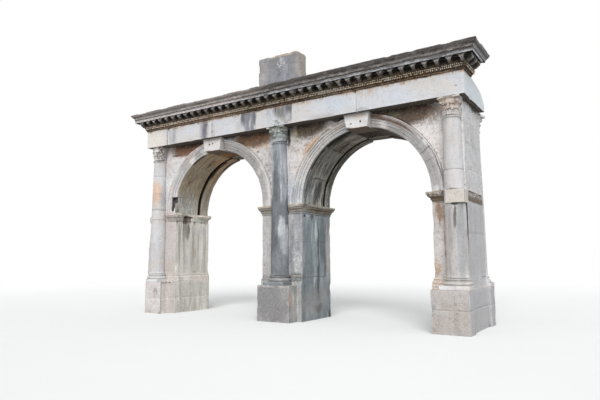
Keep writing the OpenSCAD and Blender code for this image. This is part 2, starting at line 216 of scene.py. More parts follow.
def makeFloor():
    bm = bmesh.new()
    bmesh.ops.create_grid(bm, x_segments=1, y_segments=1, size=floorLook["half"])
    mesh = bpy.data.meshes.new("floor")
    bm.to_mesh(mesh)
    bm.free()
    floor = bpy.data.objects.new("floor", mesh)
    scene.collection.objects.link(floor)
    look = Finish(bpy.data.materials.new("paleFloor"))
    place = look.node("ShaderNodeTexCoord", out="Object")
    colour = look.blend(look.clouds(place, 0.8, 5.0) * 0.25, floorLook["colour"],
                        floorLook["mottle"])
    seen = look.node("ShaderNodeLightPath", out="Is Camera Ray")
    colour = look.blend(seen, floorLook["bounce"], colour)
    plain = look.node("ShaderNodeBsdfDiffuse", None, {"Color": colour, "Roughness": 0.5})
    white = look.node("ShaderNodeEmission", None, {"Color": (1, 1, 1, 1), "Strength": 1.0})
    fade = look.step(look.length(place), floorLook["fadeFrom"], floorLook["fadeTo"]) * seen
    look.node("ShaderNodeOutputMaterial", None, {
        "Surface": look.node("ShaderNodeMixShader", None, {0: fade, 1: plain, 2: white})},
        None)
    mesh.materials.append(look.owner)


makeFloor()
print("floor laid")


# What a stone has where its own look doesn't say. A look always gives pale, warm, grey, dark,
# mottle and runs.
plainStone = {
    # the side share and side colour paint light and shade on the faces that look along X
    "shift": 0.0, "side": 0.0, "sidePaintedLightColour": (0.38, 0.42, 0.45), "streaky": 0.0,
    # faces that look down take the under colour: painted shade, with some crust
    "runColour": (0.26, 0.26, 0.27), "under": 0.0, "underShadeAndCrustColour": (0.10, 0.085, 0.07),
    # faces that look up take the top colour: dust, and where it is lighter than the stone,
    # painted light
    "top": 0.5, "topDustAndLightColour": (0.42, 0.38, 0.28), "speck": 0.55, "pitDark": 0.5,
    "lichen": 0.7, "lichenColour": (0.10, 0.095, 0.085), "jointDark": 0.35,
    # the deep colour is painted shade and soot in slots and in the hollows between brackets
    "jointColour": (0.14, 0.12, 0.11), "deepShadeAndSootColour": (0.050, 0.036, 0.024), "grain": 0.30,
    # the line colour is painted shade in the creases of an arch ring's face
    "toned": 0.12, "bump": 0.6, "stainsAndPaintedLight": (), "bands": (), "creaseShadeColour": (0.15, 0.13, 0.12),
}


class Stone(Finish):
    # weathered limestone: the clouds that its layers share, and a method for each layer
    def __init__(self, name, look):
        super().__init__(bpy.data.materials.new(name))
        self.look = look = {**plainStone, **look}
        shift = look["shift"]
        self.place = place = self.node("ShaderNodeTexCoord", out="Object")
        self.strayed = self.stray(place, 3.2, 0.42)
        self.near = self.stray(place, 8.0, 0.10)
        self.hung = self.stray(place, 7.0, 0.34, (1.0, 1.0, 0.12))
        self.large = self.clouds(place, 1.1, 4.0, 0.6, shift=shift)
        self.medium = self.clouds(place, 6.0, 6.0, 0.68, shift=2.3 + shift)
        self.blots = self.clouds(place, 17.0, 5.0, 0.70, shift=1.1)
        self.grain = self.clouds(place, 34.0, 5.0, 0.75, shift=5.0)
        self.runs = self.clouds(self.hung, 6.5, 6.0, 0.72, (1.0, 1.0, 0.13), 4.1 + shift)
        self.broad = self.clouds(self.hung, 2.6, 5.0, 0.65, (1.0, 1.0, 0.20), 7.7 + shift)
        self.patches = {"run": self.step(self.runs, 0.40, 0.60),
                        "blot": self.step(self.medium, 0.42, 0.58),
                        "fleck": self.step(self.blots, 0.43, 0.56),
                        "streaks": 0.45 + self.step(self.runs, 0.42, 0.58) * 0.55}
        faceX, faceY, self.faceZ = self.parts(
            self.node("ShaderNodeNewGeometry", out="Normal"))
        self.faceY = abs(faceY)
        # how much of the painted side light and shade a face takes, by how far it looks along X
        self.side = self.step(abs(faceX), 0.5, 0.9) * look["side"]
        self.pull = self.side if "sideRun" in look else look["streaky"]

    def broken(self, mask, words):
        for word in words:
            if word in self.patches:
                mask = mask * self.patches[word]
        return mask

    def spots(self, colour, where, stainsAndPaintedLight):
        for kind, centre, reach, tint, strength in stainsAndPaintedLight:
            words = kind.split()
            at = where
            if where is self.strayed and ("run" in words or "hung" in words):
                at = self.hung
            elif where is self.strayed and ("box" in words or "near" in words):
                at = self.near
            off = self.vector("DIVIDE", self.vector("SUBTRACT", at, centre), reach)
            if "box" in words:
                x, y, z = [abs(part) for part in self.parts(off)]
                mask = 1.0 - self.step(x.most(y).most(z), 0.78, 1.05)
            else:
                mask = 1.0 - self.step(self.length(off), 0.05 if "soft" in words else 0.55,
                                       1.05)
            colour = self.blend(self.broken(mask, words) * strength, colour, tint)
        return colour

    def ground(self):
        # the stone itself, and how it differs on the faces that look along X, where a tint paints
        # the light and shade that falls on them
        look, side = self.look, self.side
        colour = self.blend(self.step(self.large, 0.40, 0.60), look["pale"], look["warm"])
        # painted light and shade on the faces that look along X
        colour = self.blend(side, colour, look["sidePaintedLightColour"])
        mixed = self.medium * 0.55 + self.blots * 0.45
        mixed = mixed + (self.runs * 0.8 + mixed * 0.2 - mixed) * self.pull
        colour = self.blend(self.step(mixed, 0.44, 0.60) * look["mottle"], colour,
                            look["grey"])
        washed = self.step(self.runs, 0.46, 0.66) * look["runs"] * (1.0 - side * 0.5)
        colour = self.blend(washed, colour, look["runColour"])
        if "sideRun" in look:
            streaky = self.step(self.broad, 0.42, 0.62) * (
                0.35 + self.step(self.runs, 0.40, 0.62) * 0.65)
            colour = self.blend(side * streaky * 0.9, colour, look["sideRun"])
        if "sideLight" in look:
            lit = self.clouds(self.hung, 4.6, 6.0, 0.72, (1.0, 1.0, 0.14), 20.0)
            colour = self.blend(side * self.step(lit, 0.50, 0.64) * 0.85, colour,
                                look["sideLight"])
        if "along" in look:
            layers = self.clouds(self.place, 24.0, 5.0, 0.7, (0.05, 0.5, 1.0), 9.0)
            colour = self.blend(self.step(layers, 0.44, 0.60) * (0.75 - side * 0.5), colour,
                                look["along"])
        if "carve" in look:
            carved = self.clouds(self.place, 18.0, 4.0, 0.7, shift=12.0)
            colour = self.blend(self.step(carved, 0.50, 0.60) * 0.8, colour, look["carve"])
        return colour

    def lining(self, angle, back):
        # the inside of a vault, unrolled: X is the angle round it and Y the depth
        look = self.look
        curled = self.node("ShaderNodeCombineXYZ", None, {"X": angle, "Y": back})
        curled = self.stray(curled, 4.0, 0.10)
        ringwise = self.clouds(curled, 2.2, 7.0, 0.76, (0.9, 3.5, 1.0), look["shift"])
        colour = self.blend(self.step(self.large, 0.42, 0.60), look["vault"],
                            look["vaultWarm"])
        colour = self.spots(colour, curled, look["vaultStains"])
        colour = self.blend(self.step(ringwise, 0.46, 0.58) * look["vaultPull"], colour,
                            look["vaultDark"])
        rough = self.step(self.medium * 0.4 + self.blots * 0.6, 0.47, 0.57)
        colour = self.blend(rough * 0.6, colour, look["vaultDark"])
        lit = self.clouds(curled, 5.0, 6.0, 0.75, (1.2, 3.0, 1.0), 3.0)
        colour = self.blend(self.step(lit, 0.52, 0.64) * look["vaultPull"] * 0.85, colour,
                            look["vaultLit"])
        return self.spots(colour, curled, look["vaultLines"])

    def ring(self, colour):
        # an arch ring: the lining of its vault, then the stains of its face and its dark lines,
        # which are painted shade in the creases between the fasciae
        look = self.look
        x, z, radius = look["arch"]
        out = self.vector("SUBTRACT", self.place, (x, 0.0, z))
        away = self.length(self.vector("MULTIPLY", out, (1.0, 0.0, 1.0)))
        sideways, back, upward = self.parts(out)
        angle = upward.most(0.0).math("ARCTAN2", sideways)
        vault = (1.0 - self.step(self.faceY, 0.35, 0.65)) * (
            1.0 - self.step(away, radius + 0.05, radius + 0.09))
        colour = self.blend(vault, colour, self.lining(angle, back))
        front = self.step(self.faceY, 0.3, 0.6)
        radial = self.node("ShaderNodeCombineXYZ", None, {"X": angle, "Y": away})
        painted = self.spots(colour, self.stray(radial, 7.0, 0.06), look["frontStains"])
        colour = self.blend(front, colour, painted)
        # the painted crease shade fades away low on the right of the ring
        creaseShadeFade = 0.2 + self.step(angle, math.radians(35), math.radians(62)) * 0.8
        gaps = self.step(self.medium, 0.34, 0.50)
        for at, half, strength in look["creaseShadeLines"]:
            line = 1.0 - self.step(abs(away - (radius + at)), half * 0.3, half)
            colour = self.blend(line * front * strength * creaseShadeFade * gaps, colour,
                                look["creaseShadeColour"])
        return colour

    def layers(self, colour):
        # bands at one height, ragged or level
        ragged = self.parts(self.strayed)[2]
        level = self.parts(self.place)[2] + (self.medium - 0.5) * 0.06
        for kind, low, high, soft, tint, strength in self.look["bands"]:
            words = kind.split()
            height = level if "level" in words else ragged
            mask = self.step(height, low - soft, low + soft) * (
                1.0 - self.step(height, high - soft, high + soft))
            colour = self.blend(self.broken(mask, words) * strength, colour, tint)
        return colour

    def dirtAndShade(self, colour, pitted):
        # painted shade, with some crust, on faces that look down; dust and painted light on faces
        # that look up; what fills pits and joints; and painted shade and soot deep in slots and
        # hollows
        look = self.look
        joint, deep = [
            self.node("ShaderNodeAttribute", {"attribute_name": name}, out="Fac")
            for name in ("joint", "deep")]
        lichen = self.step(self.clouds(self.place, 24.0, 2.0, 0.5, shift=30.0), 0.66, 0.72)
        for mask, tint in (
                # painted shade, with some crust, on the faces that look down
                (self.step(0.0 - self.faceZ, 0.5, 0.9) * look["under"], look["underShadeAndCrustColour"]),
                # dust, and lighter painted light on some tops, on the faces that look up
                (self.step(self.faceZ, 0.5, 0.9) * look["top"], look["topDustAndLightColour"]),
                (self.step(self.blots, 0.52, 0.66) * look["speck"], look["dark"]),
                (pitted * look["pitDark"], look["dark"]),
                (lichen * look["lichen"], look["lichenColour"]),
                (joint * look["jointDark"] * self.step(self.medium, 0.40, 0.56),
                 look["jointColour"]),
                # painted shade and soot on the faces marked deep
                (deep, look["deepShadeAndSootColour"])):
            colour = self.blend(mask, colour, tint)
        return colour

    def shade(self, colour):
        # how light each grain, blot, streak and block is
        coarse = self.look["grain"] * (1.0 - self.pull * 0.55)
        tone, worn = [
            self.node("ShaderNodeAttribute", {"attribute_name": name}, out="Fac")
            for name in ("tone", "worn")]
        value = 0.90 - coarse * 1.15
        for cloud, low, high, share in ((self.grain, 0.34, 0.66, 0.8),
                                        (self.blots, 0.34, 0.62, 0.9),
                                        (self.medium, 0.36, 0.64, 0.7)):
            value = value + self.step(cloud, low, high) * coarse * share
        value = value + (self.step(self.runs, 0.36, 0.64) - 0.5) * self.pull * 0.30
        value = value + tone * self.look["toned"] + worn * 0.12
        return self.node("ShaderNodeHueSaturation", None, {"Color": colour, "Value": value})

    def make(self):
        look = self.look
        colour = self.ground()
        if "arch" in look:
            colour = self.ring(colour)
        colour = self.layers(self.spots(colour, self.strayed, look["stainsAndPaintedLight"]))
        pits = self.node("ShaderNodeTexVoronoi", None, {
            "Vector": self.strayed, "Scale": 15.0})
        pitted = (1.0 - self.step(pits, 0.05, 0.30)) * self.step(self.large, 0.40, 0.60)
        colour = self.shade(self.dirtAndShade(colour, pitted))
        relief = self.grain * 0.35 + self.blots * 0.6 + self.medium * 0.8 - pitted * 0.6
        bump = self.node("ShaderNodeBump", None, {
            "Strength": look["bump"], "Distance": 0.03, "Height": relief})
        body = self.node("ShaderNodeBsdfPrincipled", None, {
            "Base Color": colour, "Roughness": 0.74 + self.grain * 0.2, "Normal": bump,
            "Specular IOR Level": 0.2})
        self.node("ShaderNodeOutputMaterial", None, {"Surface": body}, None)
        return self.owner


# Each mark says how it breaks up, its middle, its half sizes, its colour and its strength; most
# marks are stains, and some are painted light and shade.
# "box" has straight sides, "near" strays little, "soft" fades, and "hung" and "run" hang
# down. "run", "blot", "fleck" and "streaks" break the stain up into patches.
def onFace(y, deep, *rows):
    # marks on a face that looks along Y, stains and painted light and shade: x, z, half width,
    # half height
    return tuple((kind, (x, y, z), (wide, deep, tall), tint, strength)
                 for kind, x, z, wide, tall, tint, strength in rows)


def onJamb(x, deep, *rows):
    # stains on a jamb, which looks along X: y, z, half width, half height
    return tuple((kind, (x, y, z), (deep, wide, tall), tint, strength)
                 for kind, y, z, wide, tall, tint, strength in rows)


def onCurve(*rows):
    # marks round an arch, stains and painted shade: degrees, depth or radius, half spread in
    # degrees, half reach
    return tuple((kind, (math.radians(at), out, 0), (math.radians(spread), reach, 1), tint,
                  strength)
                 for kind, at, out, spread, reach, tint, strength in rows)


# near black, for soot and for painted shadow
sootAndShadow = (0.05, 0.042, 0.036)
# In the looks below, the side colour is painted light and shade on faces that look along X, the
# under colour painted shade with some crust on faces that look down, the top colour dust and
# painted light on faces that look up, and the deep colour painted shade and soot in slots and
# hollows.
wallLook = {
    "pale": (0.92, 0.905, 0.90), "warm": (0.87, 0.81, 0.79), "grey": (0.68, 0.665, 0.665),
    "dark": (0.40, 0.36, 0.34), "mottle": 0.40, "runs": 0.15, "side": 0.6,
    "sidePaintedLightColour": (0.74, 0.745, 0.77), "under": 0.5, "jointDark": 0.4, "lichen": 0.9,
    "grain": 0.34, "speck": 0.5, "runColour": (0.55, 0.53, 0.53),
    "stainsAndPaintedLight": (
        *onFace(-0.85, 0.5,
            ("blot", -4.0, 5.64, 0.85, 0.22, (0.74, 0.47, 0.33), 0.85),
            ("near", -4.10, 5.80, 0.88, 0.34, (0.40, 0.20, 0.11), 0.98),
            ("fleck", -4.10, 5.72, 0.86, 0.26, (0.15, 0.085, 0.05), 0.85),
            ("near", -4.0, 5.92, 0.9, 0.12, (0.20, 0.115, 0.07), 0.9),
            ("near", -4.62, 5.60, 0.30, 0.05, (0.10, 0.075, 0.06), 0.8),
            ("fleck", -4.15, 5.60, 0.7, 0.07, (0.22, 0.13, 0.10), 0.7),
            ("blot", -0.95, 5.42, 0.5, 0.20, (0.68, 0.46, 0.34), 0.8),
            ("run", -0.60, 5.62, 0.16, 0.40, (0.74, 0.50, 0.33), 0.85),
            ("near", -1.15, 5.78, 0.90, 0.36, (0.36, 0.20, 0.12), 0.98),
            ("fleck", -1.10, 5.70, 0.85, 0.28, (0.12, 0.07, 0.042), 0.88),
            ("near", 1.22, 5.40, 0.16, 0.12, (0.90, 0.62, 0.43), 0.95),
            ("near", 1.04, 5.24, 0.15, 0.14, (0.92, 0.62, 0.42), 0.95),
            ("near", 0.88, 5.06, 0.12, 0.15, (0.86, 0.64, 0.50), 0.9),
            ("fleck", 0.98, 5.2, 0.28, 0.28, (0.50, 0.33, 0.22), 0.8),
            ("near", 0.95, 5.83, 0.78, 0.36, (0.22, 0.155, 0.10), 0.97),
            ("fleck", 1.0, 5.78, 0.8, 0.34, (0.07, 0.055, 0.04), 0.85),
            ("fleck", 0.85, 5.50, 0.6, 0.06, (0.26, 0.19, 0.14), 0.8),
            ("hung", 0.50, 5.76, 0.09, 0.34, (0.58, 0.51, 0.36), 0.9),
            ("near", 4.05, 5.78, 1.15, 0.40, (0.25, 0.165, 0.11), 0.97),
            ("fleck", 4.1, 5.74, 1.0, 0.38, (0.075, 0.05, 0.035), 0.92),
            ("near", 3.75, 5.80, 0.30, 0.08, (0.20, 0.20, 0.14), 0.8),
            ("near fleck", 4.85, 5.62, 0.20, 0.34, (0.30, 0.20, 0.15), 0.8),
            ("near fleck", 4.4, 5.45, 0.4, 0.03, (0.30, 0.24, 0.20), 0.9)),
        *onFace(-0.85, 0.4,
            ("near", 0.27, 5.62, 0.08, 0.40, sootAndShadow, 0.95),
            ("", -0.62, 4.55, 0.36, 0.85, (0.56, 0.545, 0.55), 0.75),
            ("soft", -0.42, 5.1, 0.30, 0.50, (0.50, 0.47, 0.46), 0.8),
            ("blot", 0.50, 5.30, 0.30, 0.30, (0.50, 0.44, 0.40), 0.8),
            ("soft", 0.36, 3.9, 0.20, 0.75, (0.56, 0.62, 0.72), 0.8),
            ("near", 0.46, 4.67, 0.22, 0.012, (0.36, 0.37, 0.42), 0.9),
            ("blot", -0.50, 4.4, 0.35, 1.2, (0.80, 0.76, 0.78), 0.6),
            ("near", -1.12, 5.13, 0.18, 0.014, (0.30, 0.27, 0.27), 0.8),
            ("near", -0.93, 5.30, 0.05, 0.035, (0.16, 0.13, 0.13), 0.9)),),
    # a dark band along the top of the wall: painted shadow under the frieze's overhang, with soot
    "bands": (("", 5.885, 6.2, 0.03, sootAndShadow, 0.8),)}
centreLook = {
    "pale": (0.66, 0.635, 0.63), "warm": (0.60, 0.545, 0.525), "grey": (0.36, 0.375, 0.40),
    "dark": (0.22, 0.22, 0.23), "mottle": 0.75, "runs": 0.40, "side": 0.95, "shift": 1.7,
    "sidePaintedLightColour": (0.35, 0.405, 0.44), "sideRun": (0.14, 0.155, 0.17), "under": 0.6,
    "sideLight": (0.47, 0.53, 0.56), "runColour": (0.30, 0.32, 0.345), "jointDark": 0.3,
    "topDustAndLightColour": (0.66, 0.58, 0.43), "top": 0.8, "grain": 0.36,
    "stainsAndPaintedLight": (
        *onFace(-0.85, 0.3,
            ("", 0.56, 2.2, 0.30, 1.5, (0.38, 0.39, 0.415), 0.95),
            ("soft", 0.36, 2.0, 0.12, 1.1, (0.30, 0.32, 0.35), 0.9),
            ("run", 0.55, 2.2, 0.22, 1.1, (0.62, 0.61, 0.61), 0.8),
            ("fleck", 0.58, 1.8, 0.16, 0.4, (0.80, 0.79, 0.78), 0.6)),
        *onFace(-0.95, 0.5,
            ("near", 0.52, 1.30, 0.40, 0.16, (0.20, 0.205, 0.215), 0.95),
            ("fleck", 0.55, 1.24, 0.30, 0.14, (0.40, 0.385, 0.37), 0.6),
            ("near", -0.52, 1.28, 0.35, 0.15, (0.33, 0.32, 0.315), 0.9)),
        *onFace(-0.85, 0.3,
            ("", -0.60, 2.3, 0.26, 1.2, (0.60, 0.575, 0.57), 0.8),
            ("soft", 0.66, 0.55, 0.14, 0.6, (0.40, 0.41, 0.39), 0.9)),
        ("near", (0.59, -1.10, 0.55), (0.1, 0.32, 0.75), (0.58, 0.57, 0.545), 0.9),
        *onFace(-1.32, 0.16,
            ("near", 0.57, 0.66, 0.10, 0.30, (0.74, 0.46, 0.31), 0.95),
            ("streaks", 0.57, 0.70, 0.12, 0.34, (0.78, 0.70, 0.62), 0.8)),
        ("near", (0.60, -1.12, 0.72), (0.10, 0.05, 0.26), (0.92, 0.91, 0.88), 0.8),
        *onJamb(0.75, 0.2,
            ("hung", -0.50, 2.3, 0.10, 0.9, (0.28, 0.34, 0.38), 0.8),
            ("hung", -0.28, 2.6, 0.05, 0.45, (0.56, 0.62, 0.63), 0.8),
            ("hung", -0.07, 2.72, 0.09, 0.42, (0.70, 0.78, 0.76), 0.9),
            ("hung", -0.17, 2.0, 0.08, 0.55, (0.46, 0.54, 0.58), 0.7),
            ("hung", 0.06, 2.4, 0.05, 0.8, (0.13, 0.135, 0.14), 0.9),
            ("hung", 0.33, 2.5, 0.20, 0.95, (0.185, 0.22, 0.225), 0.85),
            ("hung", 0.10, 1.2, 0.07, 0.85, (0.13, 0.13, 0.13), 0.9),
            ("hung", 0.48, 1.8, 0.07, 0.6, (0.17, 0.17, 0.175), 0.85),
            ("hung", 0.70, 2.1, 0.16, 1.3, (0.60, 0.575, 0.55), 0.9),
            ("hung", 0.72, 2.8, 0.04, 0.5, (0.28, 0.27, 0.26), 0.7),
            ("near run", -0.18, 1.15, 0.10, 0.20, (0.64, 0.70, 0.75), 0.95)),
        *onJamb(0.75, 0.3,
            ("soft", -0.3, 0.50, 0.75, 0.62, (0.50, 0.495, 0.48), 0.85),
            ("run", -0.3, 0.6, 0.7, 0.5, (0.34, 0.34, 0.34), 0.6),
            ("soft", -0.5, 0.25, 0.35, 0.30, (0.58, 0.59, 0.60), 0.7),
            ("soft", 0.45, 0.75, 0.35, 0.40, (0.50, 0.48, 0.46), 0.8),
            ("hung", 0.1, 0.35, 0.30, 0.16, (0.22, 0.21, 0.185), 0.7),
            ("near", 0.82, 0.12, 0.15, 0.16, (0.12, 0.09, 0.08), 0.9),
            ("near", 0.0, 1.305, 0.9, 0.016, (0.14, 0.14, 0.15), 0.7),
            ("near blot", -0.28, 3.14, 0.14, 0.10, (0.15, 0.13, 0.16), 0.85),
            ("near", -0.52, 3.17, 0.09, 0.06, (0.62, 0.62, 0.64), 0.8)),
        ("near fleck", (0.75, 0.0, 3.36), (0.4, 0.9, 0.13), (0.20, 0.18, 0.12), 0.7),
        ("near", (0.85, -0.02, 3.36), (0.3, 0.30, 0.12), (0.09, 0.065, 0.05), 0.9),
        ("near", (0.85, 0.55, 3.36), (0.4, 0.34, 0.12), (0.15, 0.155, 0.13), 0.9),
        ("near", (0.85, -0.42, 3.37), (0.3, 0.14, 0.10), (0.30, 0.22, 0.14), 0.8),
        *onFace(-1.33, 0.12,
            ("", 0.0, 0.5, 0.9, 0.9, (0.36, 0.35, 0.355), 0.9),
            ("blot", 0.0, 0.6, 0.8, 0.7, (0.25, 0.245, 0.255), 0.6),
            ("soft", 0.36, 0.80, 0.26, 0.40, (0.46, 0.44, 0.43), 0.9),
            ("near blot", 0.0, 1.05, 0.8, 0.05, (0.58, 0.56, 0.54), 0.9)),
        ("near", (0.75, -0.72, 3.155), (0.2, 0.060, 0.038), (0.010, 0.010, 0.010), 1.0),),
    "bands": (("level", 3.27, 3.49, 0.02, (0.44, 0.37, 0.275), 0.6),
              ("level fleck", 3.475, 3.60, 0.010, (0.78, 0.66, 0.46), 0.8),
              # the next two thin dark lines are painted shade in the creases of the impost's
              # mouldings
              ("level", 3.40, 3.42, 0.006, (0.16, 0.13, 0.10), 0.6),
              ("level", 3.262, 3.285, 0.008, (0.16, 0.13, 0.10), 0.7))}
leftLook = {
    "pale": (0.76, 0.70, 0.68), "warm": (0.70, 0.615, 0.58), "grey": (0.54, 0.51, 0.50),
    "dark": (0.40, 0.37, 0.34), "mottle": 0.55, "runs": 0.2, "side": 0.95, "shift": 3.1,
    # the side colours here are brighter than a stone can be: painted sunlight on the left pier's
    # jamb, with lit streaks
    "sidePaintedLightColour": (1.10, 1.06, 0.985), "sideRun": (0.60, 0.56, 0.48),
    "sideLight": (1.16, 1.13, 1.09), "grain": 0.26,
    "runColour": (0.54, 0.50, 0.45), "jointDark": 0.4, "speck": 0.4,
    "stainsAndPaintedLight": (
        *onJamb(-4.59, 0.3,
            ("hung", -0.47, 2.85, 0.07, 0.50, (0.40, 0.36, 0.32), 0.9),
            ("hung", -0.24, 2.90, 0.07, 0.40, (0.28, 0.25, 0.22), 0.9),
            ("hung", -0.68, 2.3, 0.04, 1.0, (0.50, 0.47, 0.42), 0.8),
            ("hung", 0.02, 2.3, 0.04, 0.9, (0.50, 0.47, 0.40), 0.8),
            ("hung", 0.44, 2.1, 0.05, 0.9, (0.99, 0.96, 0.90), 0.8),
            ("hung", -0.34, 2.95, 0.12, 0.42, (0.44, 0.41, 0.38), 0.85),
            ("hung", -0.42, 2.15, 0.07, 0.9, (0.56, 0.53, 0.49), 0.8),
            ("hung", -0.60, 2.0, 0.06, 1.0, (0.96, 0.92, 0.87), 0.8),
            ("hung", -0.20, 2.0, 0.05, 0.9, (0.98, 0.96, 0.93), 0.85),
            ("hung", 0.28, 2.2, 0.05, 0.9, (0.60, 0.57, 0.49), 0.7),
            ("hung", 0.66, 2.0, 0.06, 1.1, (0.62, 0.58, 0.50), 0.7),
            ("soft", 0.10, 2.15, 0.15, 0.4, (0.70, 0.62, 0.52), 0.8),
            ("soft", 0.50, 2.85, 0.25, 0.3, (0.80, 0.74, 0.76), 0.7),
            ("soft", -0.05, 1.75, 0.14, 0.4, (0.76, 0.66, 0.66), 0.7),
            ("soft", 0.35, 1.65, 0.12, 0.4, (0.80, 0.82, 0.72), 0.7),
            ("near", 0.10, 1.40, 0.10, 0.04, (0.52, 0.44, 0.38), 0.8),
            ("near", 0.07, 3.20, 0.045, 0.09, (0.20, 0.17, 0.11), 0.95),
            ("near", -0.80, 3.19, 0.05, 0.07, (0.34, 0.28, 0.25), 0.9),
            ("near blot", 0.3, 3.25, 0.45, 0.16, (0.86, 0.86, 0.72), 0.6),
            ("blot", 0.3, 1.16, 0.7, 0.16, (0.92, 0.78, 0.66), 0.8)),
        ("near", (-4.56, -0.25, 3.385), (0.3, 0.30, 0.035), (0.16, 0.10, 0.06), 0.95),
        ("near", (-4.53, 0.70, 3.36), (0.3, 0.17, 0.15), (0.98, 0.90, 0.76), 0.9),
        *onJamb(-4.56, 0.3,
            ("near", 0.34, 3.40, 0.17, 0.06, (0.52, 0.56, 0.47), 0.8),
            ("near", 0.15, 3.475, 0.8, 0.03, (0.96, 0.90, 0.80), 0.8)),
        *onFace(-0.32, 0.20,
            ("near", -4.71, 3.40, 0.5, 0.06, (0.11, 0.065, 0.035), 1.0),
            ("near", -4.71, 3.25, 0.5, 0.14, (0.32, 0.28, 0.26), 0.9)),
        # the warm end of the left pier and its stump: painted sunlight
        ("", (-5.75, -0.85, 2.4), (0.20, 0.4, 1.3), (0.80, 0.64, 0.56), 0.6),
        ("", (-5.2, -1.33, 0.6), (0.9, 0.2, 0.7), (0.90, 0.85, 0.83), 0.7),
        ("near blot", (-5.05, -1.33, 0.72), (0.16, 0.3, 0.26), (0.40, 0.38, 0.38), 0.8),),
    "bands": (("level fleck", 3.42, 3.60, 0.03, (0.80, 0.66, 0.56), 0.6),
              ("level blot", 3.20, 3.26, 0.02, (0.36, 0.29, 0.24), 0.5))}
rightLook = {
    "pale": (0.72, 0.67, 0.645), "warm": (0.67, 0.60, 0.56), "grey": (0.50, 0.47, 0.455),
    "dark": (0.34, 0.30, 0.27), "mottle": 0.5, "runs": 0.25, "side": 0.75, "shift": 4.4,
    "sidePaintedLightColour": (0.74, 0.755, 0.80), "sideRun": (0.48, 0.48, 0.49), "jointDark": 0.4,
    "pitDark": 0.15, "lichen": 0.4,
    "top": 0.7, "topDustAndLightColour": (0.66, 0.56, 0.40), "grain": 0.30, "speck": 0.3,
    "stainsAndPaintedLight": (
        *onFace(-0.85, 0.3,
            ("soft", 4.95, 2.3, 0.22, 1.1, (0.80, 0.74, 0.72), 0.9),
            ("blot", 4.84, 1.60, 0.15, 0.24, (0.52, 0.36, 0.24), 0.9),
            ("hung", 4.92, 3.0, 0.08, 0.42, (0.42, 0.27, 0.19), 0.9),
            ("near fleck", 4.95, 3.05, 0.16, 0.30, (0.36, 0.22, 0.15), 0.8),
            ("hung", 5.06, 2.3, 0.018, 1.0, (0.34, 0.25, 0.19), 0.9)),
        *onFace(-1.0, 0.6,
            ("", 5.1, 1.22, 0.9, 0.16, (0.72, 0.60, 0.52), 0.9),
            # the next three thin dark lines are painted shade in the creases of the base course
            # mouldings
            ("near", 5.1, 1.12, 0.9, 0.012, (0.30, 0.22, 0.17), 0.9),
            ("near", 5.1, 1.21, 0.9, 0.010, (0.34, 0.25, 0.20), 0.8),
            ("near", 5.1, 1.30, 0.9, 0.012, (0.32, 0.24, 0.19), 0.8)),
        # a dark upright strip at the front corner of the wall's right end, beside the column:
        # painted shadow gap
        ("hung", (5.64, -0.81, 2.80), (0.3, 0.08, 0.85), (0.09, 0.08, 0.07), 0.95),),
    "bands": (("level fleck", 3.28, 3.54, 0.03, (0.20, 0.145, 0.095), 0.95),
              ("level", 3.30, 3.44, 0.03, (0.18, 0.13, 0.085), 0.8),
              ("level", 3.535, 3.66, 0.010, (0.50, 0.41, 0.28), 0.8),
              # a thin dark line: painted shade in a crease of the impost's moulding
              ("level", 3.32, 3.345, 0.008, (0.14, 0.10, 0.075), 0.8))}
